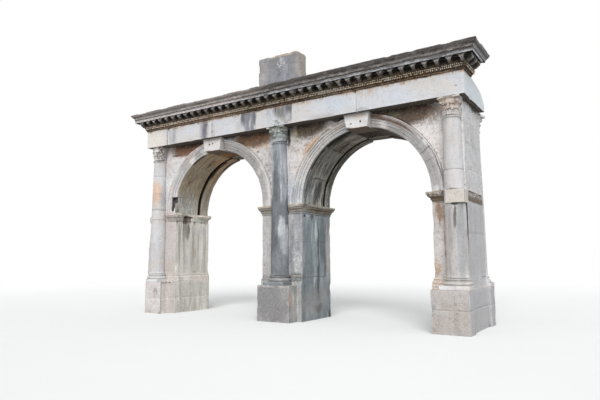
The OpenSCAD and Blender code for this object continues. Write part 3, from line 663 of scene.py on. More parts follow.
friezeLook = {
    "pale": (0.80, 0.81, 0.845), "warm": (0.81, 0.775, 0.755), "grey": (0.66, 0.665, 0.69),
    "dark": (0.50, 0.48, 0.46), "mottle": 0.28, "runs": 0.20, "bump": 0.4, "speck": 0.2,
    "grain": 0.13, "lichen": 0.3,
    "side": 0.9, "sidePaintedLightColour": (0.90, 0.97, 1.0), "under": 0.93, "runColour": (0.62, 0.62, 0.66),
    "underShadeAndCrustColour": (0.11, 0.085, 0.065), "jointDark": 0.7, "pitDark": 0.15,
    "stainsAndPaintedLight": (
        ("", (-5.40, -1.23, 6.25), (0.66, 0.5, 0.7), (0.94, 0.87, 0.815), 0.9),
        *onFace(-1.23, 0.3,
            ("near", -4.762, 6.25, 0.016, 0.7, (0.20, 0.18, 0.17), 0.9),
            ("soft hung streaks", -4.58, 6.15, 0.14, 0.5, (0.58, 0.575, 0.61), 0.9),
            ("soft hung streaks", -4.40, 6.25, 0.17, 0.9, (0.44, 0.44, 0.47), 0.95),
            ("soft hung", -3.0, 6.25, 0.24, 0.9, (0.48, 0.47, 0.51), 0.9),
            ("soft hung", -2.91, 6.25, 0.15, 1.2, (0.22, 0.21, 0.25), 1.0),
            ("soft hung", -2.87, 6.4, 0.05, 0.3, (0.20, 0.185, 0.19), 0.9),
            ("soft blot", -2.60, 6.36, 0.07, 0.10, (0.26, 0.29, 0.27), 0.9),
            ("blot", -2.61, 6.13, 0.07, 0.09, (0.16, 0.20, 0.17), 0.95),
            ("run", -2.56, 6.20, 0.10, 0.4, (0.52, 0.52, 0.52), 0.8),
            ("soft run", -1.45, 6.25, 0.16, 0.6, (0.60, 0.60, 0.64), 0.7),
            ("hung", -1.04, 6.35, 0.36, 0.56, (0.40, 0.39, 0.43), 0.95),
            ("hung", -1.24, 6.46, 0.12, 0.44, (0.17, 0.17, 0.19), 0.95),
            ("hung streaks", -1.06, 6.42, 0.07, 0.34, (0.24, 0.235, 0.26), 0.9),
            ("hung", -0.80, 6.46, 0.12, 0.40, (0.19, 0.19, 0.22), 0.95),
            ("run", -1.02, 6.25, 0.34, 0.8, (0.25, 0.25, 0.29), 0.8),
            ("soft hung", -0.99, 6.1, 0.05, 0.5, (0.70, 0.70, 0.72), 0.8),
            ("soft blot", -0.20, 6.40, 0.26, 0.20, (0.44, 0.46, 0.52), 0.85),
            ("soft run", -0.05, 6.2, 0.3, 0.3, (0.55, 0.56, 0.60), 0.8),
            ("hung", 0.24, 6.52, 0.42, 0.46, (0.34, 0.345, 0.35), 0.95),
            ("hung streaks", 0.18, 6.50, 0.20, 0.42, (0.20, 0.21, 0.19), 0.9),
            ("hung", 0.54, 6.50, 0.12, 0.32, (0.17, 0.175, 0.20), 0.9),
            ("run", 0.45, 6.15, 0.22, 0.25, (0.34, 0.34, 0.36), 0.8),
            ("near blot", 0.08, 6.06, 0.30, 0.09, (0.12, 0.15, 0.08), 0.95),
            ("near fleck", 0.10, 5.98, 0.34, 0.06, (0.55, 0.57, 0.55), 0.8),
            ("near blot", -1.1, 6.52, 0.16, 0.07, (0.10, 0.13, 0.08), 0.9),
            ("soft", 1.1, 6.46, 0.45, 0.12, (0.82, 0.74, 0.70), 0.6),
            ("soft", 2.1, 6.25, 0.7, 0.4, (0.70, 0.76, 0.86), 0.7),
            ("soft run", 3.1, 6.50, 0.42, 0.30, (0.66, 0.51, 0.40), 0.95),
            ("near", 2.97, 5.99, 0.24, 0.06, (0.56, 0.55, 0.54), 0.8),
            ("soft", 4.0, 6.2, 0.5, 0.3, (0.74, 0.79, 0.88), 0.6),
            ("soft blot", 5.3, 6.2, 0.7, 0.5, (0.80, 0.72, 0.66), 0.7),
            ("near", 5.58, 6.17, 0.05, 0.03, (0.36, 0.36, 0.36), 0.8)),),
    "bands": (("blot", 6.49, 6.70, 0.035, (0.62, 0.45, 0.33), 0.9),
              ("fleck", 6.525, 6.70, 0.02, (0.34, 0.245, 0.16), 0.85))}
coronaLook = {
    "pale": (0.34, 0.33, 0.325), "warm": (0.31, 0.29, 0.28), "grey": (0.20, 0.195, 0.19),
    "dark": (0.09, 0.085, 0.08), "mottle": 0.6, "runs": 0.3, "runColour": (0.16, 0.16, 0.16),
    "under": 0.97, "underShadeAndCrustColour": (0.012, 0.010, 0.009), "bump": 0.9, "shift": 2.2,
    "side": 0.9, "sidePaintedLightColour": (0.84, 0.87, 0.96), "along": (0.13, 0.125, 0.125),
    "stainsAndPaintedLight": (
        ("", (-4.2, -1.55, 6.9), (3.9, 0.6, 0.5), (0.86, 0.77, 0.74), 0.95),
        ("run", (-3.4, -1.55, 6.9), (3.3, 0.4, 0.3), (0.44, 0.40, 0.39), 0.5),),
    "bands": (("streaks", 6.84, 6.888, 0.008, (0.60, 0.60, 0.64), 0.95),
              ("level fleck", 6.84, 6.875, 0.010, (0.30, 0.28, 0.27), 0.6),
              ("level", 6.900, 6.915, 0.006, (0.12, 0.11, 0.115), 0.6),
              ("level", 6.930, 7.0, 0.010, (0.09, 0.08, 0.078), 0.7))}
cymaLook = {
    "pale": (0.30, 0.27, 0.255), "warm": (0.26, 0.23, 0.215), "grey": (0.18, 0.165, 0.16),
    "dark": (0.08, 0.075, 0.07), "mottle": 0.5, "runs": 0.5, "runColour": (0.13, 0.12, 0.115),
    "under": 0.8, "underShadeAndCrustColour": (0.04, 0.036, 0.032), "bump": 1.0, "shift": 6.2,
    "side": 0.9, "sidePaintedLightColour": (0.80, 0.84, 0.94), "top": 0.6, "topDustAndLightColour": (0.46, 0.43, 0.34),
    "along": (0.15, 0.135, 0.13),
    "stainsAndPaintedLight": (
        *onFace(-1.6, 0.6,
            ("", -4.9, 7.10, 3.0, 0.5, (0.74, 0.66, 0.63), 0.95),
            ("", -2.3, 7.10, 2.2, 0.5, (0.84, 0.73, 0.70), 0.95)),
        ("run", (-3.4, -1.6, 7.10), (3.3, 0.4, 0.3), (0.46, 0.40, 0.38), 0.5),
        *onFace(-1.6, 0.3,
            ("run", 4.62, 7.02, 0.12, 0.10, (0.66, 0.62, 0.56), 0.9),
            ("blot", 0.1, 7.05, 0.10, 0.3, (0.14, 0.18, 0.12), 0.9)),),
    "bands": (("run", 6.985, 7.055, 0.02, (0.58, 0.53, 0.51), 0.95),
              ("", 6.98, 7.05, 0.02, (0.44, 0.405, 0.39), 0.6),
              ("level", 7.075, 7.145, 0.012, (0.12, 0.11, 0.105), 0.5),
              # a lighter strip along the top edge: painted light on the lit top fillet
              ("level", 7.148, 7.3, 0.006, (0.40, 0.38, 0.36), 0.7),
              ("level fleck", 6.962, 6.984, 0.006, (0.07, 0.062, 0.058), 0.9),
              ("level fleck", 6.945, 6.962, 0.006, (0.34, 0.26, 0.22), 0.6))}
carvedLook = {
    "pale": (0.15, 0.105, 0.075), "warm": (0.16, 0.10, 0.055), "grey": (0.09, 0.066, 0.046),
    "dark": (0.03, 0.022, 0.016), "mottle": 0.7, "runs": 0.3, "bump": 0.9, "under": 0.85,
    "underShadeAndCrustColour": (0.05, 0.034, 0.022), "runColour": (0.07, 0.05, 0.035), "speck": 0.8,
    "grain": 0.5, "carve": (0.34, 0.265, 0.19),
    "stainsAndPaintedLight": onFace(-1.3, 0.5,
            ("fleck", -3.4, 6.65, 2.6, 0.4, (0.66, 0.54, 0.44), 0.9),
            ("blot", -3.4, 6.60, 2.6, 0.3, (0.42, 0.23, 0.13), 0.6),
            ("blot", 0.75, 6.62, 0.22, 0.3, (0.46, 0.46, 0.40), 0.8),
            ("fleck", 2.0, 6.62, 0.5, 0.3, (0.46, 0.39, 0.32), 0.8),
            ("blot", 3.72, 6.62, 0.12, 0.3, (0.52, 0.48, 0.42), 0.9),
            ("blot", -1.05, 6.58, 0.2, 0.2, (0.10, 0.13, 0.08), 0.8)),
    "bands": (("fleck", 6.53, 6.585, 0.015, (0.50, 0.34, 0.23), 0.8),)}
beadLook = {
    "pale": (0.98, 0.92, 0.84), "warm": (0.90, 0.77, 0.62), "grey": (0.60, 0.49, 0.38),
    "dark": (0.20, 0.14, 0.10), "mottle": 0.4, "runs": 0.0, "bump": 0.1, "under": 0.0,
    "speck": 0.2, "grain": 0.1, "lichen": 0.0, "pitDark": 0.0, "top": 0.0,
    "stainsAndPaintedLight": (
        ("", (-3.6, -1.3, 6.65), (2.8, 0.6, 0.4), (0.95, 0.88, 0.80), 0.8),)}
# near black: painted shadow and soot in the hollow behind the brackets
hollowShadeAndSootLook = {
    "pale": (0.040, 0.032, 0.026), "warm": (0.036, 0.027, 0.020), "grey": (0.03, 0.025, 0.02),
    "dark": (0.02, 0.016, 0.013), "mottle": 0.6, "runs": 0.3, "runColour": (0.02, 0.016, 0.013),
    "bands": (("", 6.5, 6.745, 0.014, (0.17, 0.125, 0.08), 0.9),
              ("fleck", 6.5, 6.80, 0.02, (0.15, 0.14, 0.09), 0.5))}
scrollLook = {
    "pale": (0.64, 0.63, 0.64), "warm": (0.54, 0.50, 0.47), "grey": (0.38, 0.365, 0.36),
    "dark": (0.12, 0.105, 0.09), "mottle": 0.5, "runs": 0.3, "bump": 0.7, "under": 0.3,
    "underShadeAndCrustColour": (0.12, 0.10, 0.08), "deepShadeAndSootColour": (0.020, 0.016, 0.013),
    "bands": (("", 6.4, 6.780, 0.035, (0.17, 0.12, 0.085), 0.85),
              ("fleck", 6.4, 6.83, 0.03, (0.16, 0.13, 0.10), 0.6))}
columnLook = {
    "pale": (0.83, 0.83, 0.845), "warm": (0.80, 0.75, 0.725), "grey": (0.66, 0.67, 0.69),
    "dark": (0.44, 0.42, 0.41), "mottle": 0.35, "runs": 0.3, "bump": 0.5, "speck": 0.3,
    "runColour": (0.62, 0.63, 0.66), "jointDark": 0.35, "grain": 0.22, "streaky": 0.6,
    "pitDark": 0.15, "lichen": 0.25,
    "stainsAndPaintedLight": (
        ("", (-5.36, -1.1, 4.28), (0.30, 0.6, 0.52), (0.86, 0.62, 0.49), 0.95),
        ("soft", (-5.38, -1.1, 3.85), (0.30, 0.5, 0.22), (0.86, 0.70, 0.60), 0.8),
        # a bluish streak down the right side of the left column: painted shade
        ("hung", (-5.10, -1.0, 4.3), (0.06, 0.3, 0.7), (0.60, 0.64, 0.68), 0.8),
        ("blot", (-5.55, -1.1, 5.1), (0.2, 0.5, 0.4), (0.80, 0.60, 0.48), 0.7),
        # the warm left side of the left column: painted sunlight
        ("soft", (-5.58, -0.95, 2.6), (0.14, 0.4, 1.6), (0.90, 0.72, 0.63), 0.9),
        ("run", (5.43, -1.2, 2.75), (0.08, 0.3, 0.55), (0.24, 0.23, 0.23), 0.9),
        ("", (5.35, -1.15, 2.2), (0.40, 0.5, 1.5), (0.62, 0.585, 0.57), 0.9),
        ("hung", (5.56, -1.1, 2.2), (0.12, 0.4, 1.3), (0.44, 0.45, 0.46), 0.8),
        ("hung", (5.29, -1.2, 2.3), (0.05, 0.4, 1.2), (0.42, 0.42, 0.42), 0.7),
        ("soft", (5.17, -1.15, 2.2), (0.16, 0.4, 1.3), (0.70, 0.62, 0.58), 0.9),
        *onFace(-1.15, 0.3,
            ("hung", 5.44, 2.92, 0.045, 0.42, (0.20, 0.185, 0.175), 0.95),
            # the dark slot under the repair block is painted shadow
            ("near", 5.42, 3.185, 0.11, 0.040, (0.035, 0.03, 0.025), 1.0)),
        ("blot", (5.35, -1.2, 4.6), (0.3, 0.4, 1.0), (0.74, 0.66, 0.62), 0.5),
        *onFace(-1.2, 0.5,
            ("near", 5.30, 5.78, 0.5, 0.26, (0.88, 0.76, 0.67), 0.85),
            ("near fleck", 5.35, 5.66, 0.5, 0.26, (0.44, 0.34, 0.27), 0.75),
            ("near", -5.4, 5.72, 0.5, 0.28, (0.86, 0.80, 0.76), 0.8),
            ("near fleck", -5.20, 5.65, 0.17, 0.35, (0.12, 0.12, 0.115), 0.9),
            ("near fleck", -5.5, 5.60, 0.3, 0.12, (0.34, 0.28, 0.25), 0.6)),)}
blueLook = {
    "pale": (0.34, 0.37, 0.40), "warm": (0.28, 0.295, 0.31), "grey": (0.17, 0.185, 0.20),
    "dark": (0.12, 0.125, 0.135), "mottle": 0.8, "runs": 0.55, "bump": 0.5, "grain": 0.40,
    "runColour": (0.19, 0.205, 0.23), "jointDark": 0.12, "lichen": 0.5, "streaky": 0.85,
    "stainsAndPaintedLight": (
        *onFace(-1.2, 0.6,
            ("soft", 0.0, 4.7, 0.5, 1.3, (0.26, 0.29, 0.315), 0.9),
            ("run", 0.05, 5.0, 0.4, 0.7, (0.46, 0.50, 0.54), 0.8)),
        ("hung streaks", (-0.16, -1.1, 4.6), (0.10, 0.4, 1.2), (0.52, 0.53, 0.54), 0.9),
        ("hung", (0.0, -1.2, 4.1), (0.11, 0.3, 0.7), (0.18, 0.19, 0.205), 0.9),
        ("hung streaks", (0.20, -1.1, 4.3), (0.09, 0.4, 0.9), (0.58, 0.62, 0.66), 0.9),
        ("hung", (-0.14, -1.2, 2.7), (0.12, 0.4, 1.2), (0.19, 0.185, 0.20), 0.9),
        ("hung", (0.02, -1.2, 2.2), (0.12, 0.3, 0.6), (0.155, 0.16, 0.175), 0.9),
        *onFace(-1.0, 0.4,
            ("hung", -0.27, 3.4, 0.080, 1.8, (0.62, 0.60, 0.60), 0.95),
            ("hung", -0.26, 2.9, 0.065, 0.6, (0.88, 0.87, 0.86), 0.9),
            ("hung", -0.26, 2.1, 0.055, 0.6, (0.56, 0.55, 0.55), 0.8)),
        *onFace(-1.2, 0.4,
            ("soft", 0.10, 1.75, 0.34, 0.40, (0.22, 0.24, 0.26), 0.9),
            ("streaks", 0.10, 1.9, 0.30, 0.45, (0.36, 0.38, 0.40), 0.8)),
        ("hung", (0.17, -1.15, 2.80), (0.10, 0.3, 0.36), (0.74, 0.76, 0.77), 0.95),
        ("hung streaks", (0.23, -1.1, 2.55), (0.09, 0.4, 0.60), (0.70, 0.72, 0.74), 0.95),
        ("hung", (0.27, -1.0, 2.3), (0.06, 0.4, 0.55), (0.52, 0.54, 0.56), 0.85),
        *onFace(-1.2, 0.5,
            ("blot", 0.0, 1.2, 0.5, 0.14, (0.36, 0.37, 0.38), 0.8),
            ("near streaks", 0.0, 1.25, 0.5, 0.10, (0.44, 0.45, 0.46), 0.7),
            ("near", -0.05, 5.70, 0.5, 0.30, (0.64, 0.68, 0.66), 0.9),
            ("near blot", -0.22, 5.80, 0.24, 0.16, (0.95, 0.93, 0.86), 0.9),
            ("near blot", 0.28, 5.82, 0.20, 0.14, (0.84, 0.83, 0.74), 0.9),
            ("near fleck", 0.0, 5.72, 0.5, 0.24, (0.24, 0.27, 0.22), 0.7),
            ("near", -0.15, 5.93, 0.25, 0.04, (0.15, 0.18, 0.10), 0.85)),)}
slabLook = {
    "pale": (0.36, 0.37, 0.42), "warm": (0.33, 0.325, 0.33), "grey": (0.26, 0.26, 0.28),
    "dark": (0.18, 0.17, 0.165), "mottle": 0.6, "runs": 0.3, "bump": 0.8, "top": 0.7,
    "topDustAndLightColour": (0.62, 0.50, 0.36), "side": 0.8, "sidePaintedLightColour": (0.50, 0.45, 0.36),
    "runColour": (0.27, 0.25, 0.24), "grain": 0.40, "stainsAndPaintedLight": (
        *onFace(-1.05, 0.4,
            ("soft hung", 0.0, 7.75, 0.12, 0.7, (0.27, 0.265, 0.31), 0.8),
            ("soft hung", 0.28, 7.75, 0.14, 0.7, (0.42, 0.43, 0.50), 0.8),
            ("soft", -0.62, 7.7, 0.30, 0.8, (0.50, 0.46, 0.44), 0.8),
            ("fleck", 0.08, 8.05, 0.14, 0.25, (0.72, 0.70, 0.70), 0.8),
            ("soft", 0.75, 7.8, 0.22, 0.8, (0.46, 0.40, 0.37), 0.8)),
        *onFace(-1.05, 0.5,
            ("near", 0.3, 8.27, 0.8, 0.07, (0.58, 0.48, 0.37), 0.85),
            ("blot", 0.25, 7.30, 0.5, 0.12, (0.86, 0.83, 0.78), 0.9),
            ("fleck", -0.5, 7.30, 0.5, 0.12, (0.60, 0.58, 0.54), 0.7)),)}
# the dark lines on a ring's face, painted shade in the creases between its fasciae: how far out
# from its inner edge, half width, strength
archCreaseShadeLines = ((0.100, 0.010, 0.85), (0.185, 0.010, 0.85), (0.233, 0.010, 0.7),
             (0.298, 0.013, 0.7), (0.337, 0.009, 0.5))
leftRingLook = {
    "pale": (0.93, 0.915, 0.91), "warm": (0.88, 0.83, 0.81), "grey": (0.68, 0.665, 0.665),
    "dark": (0.40, 0.37, 0.35), "mottle": 0.40, "runs": 0.12, "arch": gate["leftArch"],
    "toned": 0.05, "stainsAndPaintedLight": (
        ("box near", (-4.79, -0.740, 3.84), (0.145, 0.095, 0.29), (0.13, 0.12, 0.12), 1.0),),
    "creaseShadeLines": tuple((at, wide, deep * 0.7) for at, wide, deep in archCreaseShadeLines),
    "jointDark": 0.4, "vault": (0.78, 0.65, 0.50), "lichen": 0.4,
    "vaultWarm": (0.70, 0.56, 0.40), "vaultDark": (0.36, 0.27, 0.17), "grain": 0.26,
    "vaultLit": (0.92, 0.80, 0.66), "vaultPull": 0.65,
    "speck": 0.3,
    "vaultStains": onCurve(
        ("", 180, -0.45, 28, 1.0, (0.80, 0.85, 0.85), 0.95),
        ("blot", 168, -0.33, 12, 0.13, (0.40, 0.41, 0.42), 0.8),
        ("blot", 158, -0.3, 5, 0.3, (0.48, 0.52, 0.38), 0.6),
        ("near", 107, -0.1, 6.5, 1.1, (0.99, 0.74, 0.50), 0.9),
        ("", 116, 0.14, 9, 0.20, (0.92, 0.58, 0.36), 0.9),
        ("near", 112, 0.20, 7, 0.12, (0.95, 0.55, 0.28), 0.8),
        ("blot", 135, 0.15, 22, 0.3, (0.46, 0.41, 0.29), 0.7),
        ("near", 119, -0.10, 9, 0.09, (0.22, 0.13, 0.055), 0.95),
        ("near", 148, -0.46, 4, 0.09, (0.36, 0.21, 0.16), 0.85),
        ("blot", 143, -0.45, 12, 0.3, (0.52, 0.40, 0.34), 0.7),
        ("", 128, 0.62, 34, 0.09, (0.95, 0.66, 0.44), 0.9),
        ("", 168, 0.62, 22, 0.3, (0.64, 0.64, 0.60), 0.8)),
    "vaultLines": onCurve(
        ("box", 90, -0.3, 12, 1.4, (0.46, 0.20, 0.06), 0.95),
        ("streaks", 97, -0.1, 3, 0.7, (0.60, 0.30, 0.10), 0.9),
        ("box", 93, 0.25, 8, 0.20, (0.16, 0.085, 0.04), 0.85),
        ("box", 84, 0.0, 7, 1.4, (0.24, 0.165, 0.11), 0.8),
        # the next two widen the dark of the slot: painted shadow
        ("box", 150, 0.42, 34, 0.025, (0.05, 0.035, 0.02), 0.9),
        ("box", 124, 0.46, 15, 0.05, (0.07, 0.04, 0.018), 0.95),
        ("box", 113, 0.76, 14, 0.045, (0.06, 0.03, 0.012), 0.95),
        # a dark line along the front edge of the vault, under the ring: painted shadow
        ("box", 117, -0.81, 10, 0.05, (0.06, 0.045, 0.03), 0.95)),
    "frontStains": onCurve(
        ("fleck", 20, 2.1, 30, 0.3, (0.80, 0.73, 0.72), 0.6),
        ("blot", 122, 2.30, 16, 0.08, (0.72, 0.52, 0.42), 0.8),
        ("soft", 132, 2.22, 16, 0.05, (0.70, 0.58, 0.53), 0.8),
        ("blot", 60, 2.31, 16, 0.05, (0.60, 0.52, 0.46), 0.7),
        ("fleck", 45, 2.20, 7, 0.12, (0.36, 0.32, 0.31), 0.7),
        ("", 8, 2.345, 14, 0.02, (0.16, 0.15, 0.17), 0.8))}
rightRingLook = {
    "pale": (0.93, 0.92, 0.915), "warm": (0.90, 0.85, 0.83), "grey": (0.68, 0.665, 0.665),
    "dark": (0.38, 0.36, 0.35), "mottle": 0.40, "runs": 0.12, "arch": gate["rightArch"],
    "toned": 0.06,
    "creaseShadeLines": archCreaseShadeLines, "jointDark": 0.3, "vault": (0.54, 0.53, 0.50), "lichen": 0.4,
    "vaultWarm": (0.46, 0.43, 0.385), "vaultDark": (0.12, 0.115, 0.10), "shift": 2.6,
    "vaultLit": (0.78, 0.80, 0.80), "vaultPull": 0.9,
    "grain": 0.26, "speck": 0.3,
    "vaultStains": onCurve(
        ("", 172, -0.60, 18, 0.42, (0.52, 0.58, 0.60), 0.9),
        ("", 140, 0.72, 34, 0.32, (0.22, 0.20, 0.16), 0.95),
        ("near streaks", 165, -0.45, 16, 0.10, (0.30, 0.34, 0.35), 0.8),
        ("near streaks", 150, -0.30, 12, 0.08, (0.22, 0.22, 0.20), 0.8),
        ("near", 168, 0.02, 12, 0.23, (0.085, 0.085, 0.085), 0.95),
        ("near streaks", 166, 0.14, 9, 0.04, (0.24, 0.25, 0.25), 0.7),
        ("near", 147, -0.06, 7, 0.10, (0.14, 0.14, 0.135), 0.85),
        ("near", 146, 0.22, 9, 0.10, (0.12, 0.12, 0.105), 0.85),
        ("soft", 176, 0.27, 14, 0.10, (0.80, 0.76, 0.71), 0.9),
        ("box", 120, 0.0, 7.5, 0.6, (0.36, 0.28, 0.215), 0.85),
        ("box", 106.5, -0.05, 6, 0.5, (0.72, 0.62, 0.53), 0.9),
        ("near", 121, 0.04, 8, 0.08, (0.07, 0.04, 0.025), 0.95),
        ("box", 146, 0.72, 18, 0.26, (0.18, 0.18, 0.145), 0.85),
        ("box", 119, 0.72, 9, 0.26, (0.22, 0.165, 0.125), 0.85),
        ("soft", 176, 0.66, 8, 0.2, (0.36, 0.33, 0.31), 0.8)),
    "vaultLines": onCurve(
        ("box", 91, 0.0, 10, 1.4, (0.085, 0.06, 0.05), 0.97),
        ("", 93, 0.4, 7, 0.3, (0.06, 0.04, 0.035), 0.85),
        ("", 76, 0.2, 11, 1.4, (0.13, 0.095, 0.08), 0.9),
        # the next three darken the vault along its front edge, under the ring: painted shadow
        ("box", 139, -0.73, 12, 0.045, (0.03, 0.026, 0.022), 0.95),
        ("soft", 113, -0.60, 17, 0.24, (0.05, 0.04, 0.03), 0.9),
        ("box", 112, -0.72, 16, 0.10, (0.03, 0.024, 0.018), 0.95),
        ("near", 100, -0.4, 1.0, 0.5, (0.07, 0.05, 0.04), 0.8),
        ("near", 157, -0.1, 0.9, 0.5, (0.10, 0.10, 0.10), 0.7),
        ("near", 127, 0.0, 0.8, 0.6, (0.12, 0.10, 0.08), 0.8)),
    "frontStains": onCurve(
        ("soft", 172, 2.20, 14, 0.3, (0.62, 0.64, 0.67), 0.95),
        ("near", 177, 2.28, 9, 0.08, (0.48, 0.50, 0.55), 0.8),
        ("near", 133, 2.345, 12, 0.055, (0.92, 0.62, 0.42), 0.95),
        ("streaks", 136, 2.325, 14, 0.075, (0.95, 0.80, 0.68), 0.8),
        ("near", 138, 2.296, 13, 0.013, (0.34, 0.21, 0.14), 0.95),
        ("near", 134, 2.345, 12, 0.012, (0.50, 0.31, 0.20), 0.9),
        ("near", 131, 2.25, 20, 0.012, (0.36, 0.27, 0.21), 0.8),
        ("near", 131, 2.16, 20, 0.010, (0.36, 0.30, 0.26), 0.8),
        ("fleck", 150, 2.30, 10, 0.08, (0.78, 0.62, 0.52), 0.8),
        ("fleck", 106, 2.22, 10, 0.08, (0.82, 0.62, 0.48), 0.85),
        ("blot", 114, 2.33, 12, 0.05, (0.30, 0.21, 0.15), 0.9),
        ("", 63, 2.262, 22, 0.055, (0.44, 0.32, 0.255), 0.9),
        ("near", 62, 2.262, 20, 0.022, (0.28, 0.19, 0.14), 0.95),
        ("", 79, 2.31, 9, 0.08, (0.27, 0.18, 0.13), 0.95),
        ("fleck", 60, 2.335, 14, 0.045, (0.66, 0.56, 0.51), 0.8),
        ("soft", 16, 2.2, 30, 0.3, (0.80, 0.74, 0.75), 0.8),
        ("near", 31, 2.2, 0.5, 0.3, (0.34, 0.30, 0.29), 0.8),
        ("", 16, 2.345, 22, 0.020, (0.17, 0.15, 0.16), 0.85))}
patchLook = {
    "pale": (0.82, 0.76, 0.70), "warm": (0.78, 0.69, 0.62), "grey": (0.66, 0.60, 0.55),
    "dark": (0.42, 0.36, 0.32), "mottle": 0.4, "runs": 0.2, "bump": 0.3, "speck": 0.3,
    "grain": 0.16}
keyLook = {
    "pale": (0.95, 0.94, 0.945), "warm": (0.92, 0.87, 0.84), "grey": (0.76, 0.745, 0.745),
    "dark": (0.50, 0.47, 0.44), "mottle": 0.35, "runs": 0.15, "bump": 0.4, "speck": 0.25,
    "grain": 0.16, "under": 0.9, "underShadeAndCrustColour": (0.17, 0.115, 0.075),
    "side": 0.6, "sidePaintedLightColour": (0.74, 0.76, 0.75), "lichen": 0.5,
    "stainsAndPaintedLight": (
        *onFace(-1.078, 0.2,
            ("near", -2.838, 5.747, 0.040, 0.034, (0.06, 0.055, 0.05), 1.0),
            ("near", -2.702, 5.764, 0.034, 0.036, (0.06, 0.055, 0.05), 1.0),
            ("near", 2.839, 5.701, 0.034, 0.038, (0.06, 0.055, 0.05), 1.0),
            ("near", 2.555, 5.672, 0.028, 0.028, (0.08, 0.07, 0.06), 1.0)),
        ("soft", (2.8, -1.078, 5.86), (0.4, 0.3, 0.16), (0.80, 0.68, 0.60), 0.8),)}

looks = {
    "wallStone": wallLook, "centreStone": centreLook, "leftStone": leftLook,
    "rightStone": rightLook, "friezeStone": friezeLook, "coronaStone": coronaLook,
    "cymaStone": cymaLook, "carvedStone": carvedLook, "beadStone": beadLook,
    "bracketStone": scrollLook, "hollowStone": hollowShadeAndSootLook, "columnStone": columnLook,
    "blueStone": blueLook, "slabStone": slabLook, "leftRingStone": leftRingLook,
    "rightRingStone": rightRingLook, "patchStone": patchLook, "keyStone": keyLook,
}
finishes = {name: Stone(name, look).make() for name, look in looks.items()}
print("stone finishes made")


def nodeCopy(name):
    bm = bmesh.new()
    bm.from_mesh(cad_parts[name].data)
    bmesh.ops.remove_doubles(bm, verts=bm.verts, dist=touch)
    bmesh.ops.dissolve_limit(bm, angle_limit=math.radians(0.4), verts=bm.verts, edges=bm.edges)
    return bm


def clamp(value, high=1.0):
    return min(high, max(0.0, value))


def across(axis, at):
    # a plane square to one axis, as a point and its normal
    point, along = Vector(), Vector()
    point[axis], along[axis] = at, 1.0
    return point, along


def around(x, z, degrees):
    # a plane through the centre line of an arch
    angle = math.radians(degrees)
    return Vector((x, 0, z)), Vector((-math.sin(angle), 0, math.cos(angle)))


def cut(bm, point, along, inside=None, drop=False):
    if inside:
        faces = [face for face in bm.faces if inside(face.calc_center_median())]
        geometry = list({part for face in faces for part in (*face.verts, *face.edges)}) + faces
    else:
        geometry = bm.verts[:] + bm.edges[:] + bm.faces[:]
    bmesh.ops.bisect_plane(bm, geom=geometry, dist=touch / 5, plane_co=point, plane_no=along,
                           clear_inner=drop)


def cutOff(bm, *planes):
    # drops what lies below each plane and closes the cut
    for point, along in planes:
        cut(bm, point, along, drop=True)
        bmesh.ops.holes_fill(bm, edges=[edge for edge in bm.edges if edge.is_boundary],
                             sides=0)
    bmesh.ops.recalc_face_normals(bm, faces=bm.faces)


def cutEvery(bm, step, axes="xyz"):
    for name in axes:
        axis = "xyz".index(name)
        places = [vert.co[axis] for vert in bm.verts]
        low, high = min(places), max(places)
        count = max(1, round((high - low) / step))
        for i in range(1, count):
            cut(bm, *across(axis, low + (high - low) * i / count))


def seam(plane, low=(-far,) * 3, high=(far,) * 3):
    # a joint between stones, which runs only from the low to the high corner
    return {"point": plane[0], "along": plane[1], "low": low, "high": high}


def within(point, line):
    return all(line["low"][i] - touch <= point[i] <= line["high"][i] + touch for i in range(3))


def cutSeams(bm, seams, width=0.007):
    for line in seams:
        for offset in (-width, 0.0, width):
            cut(bm, line["point"] + line["along"] * offset, line["along"],
                lambda centre: within(centre, line))


def blockTone(place, seams, number):
    # one shade for each block between the joints
    past = tuple(within(place, line) and (place - line["point"]).dot(line["along"]) > 0.0
                 for line in seams)
    return random.Random(f"{number}{past}").random() if seams else 0.5


# What a piece has where its own wear doesn't say, and how fine each kind of wear is.
plainWear = {
    "seed": 0, "chipFrom": 0.2, "pit": 0.0, "pitFrom": 0.3, "joint": 0.012, "most": 0.06,
    "hold": (), "arrisFrom": 0.35, "arrisOver": 0.8, "slow": 1.1, "quick": 9.0,
    "chips": 2.7, "pits": 5.0,
}


def held(*names, lift=0.0):
    # the heights at which a piece meets the next one, where it isn't worn up or down
    return tuple((2, gate[name] + lift) for name in names)


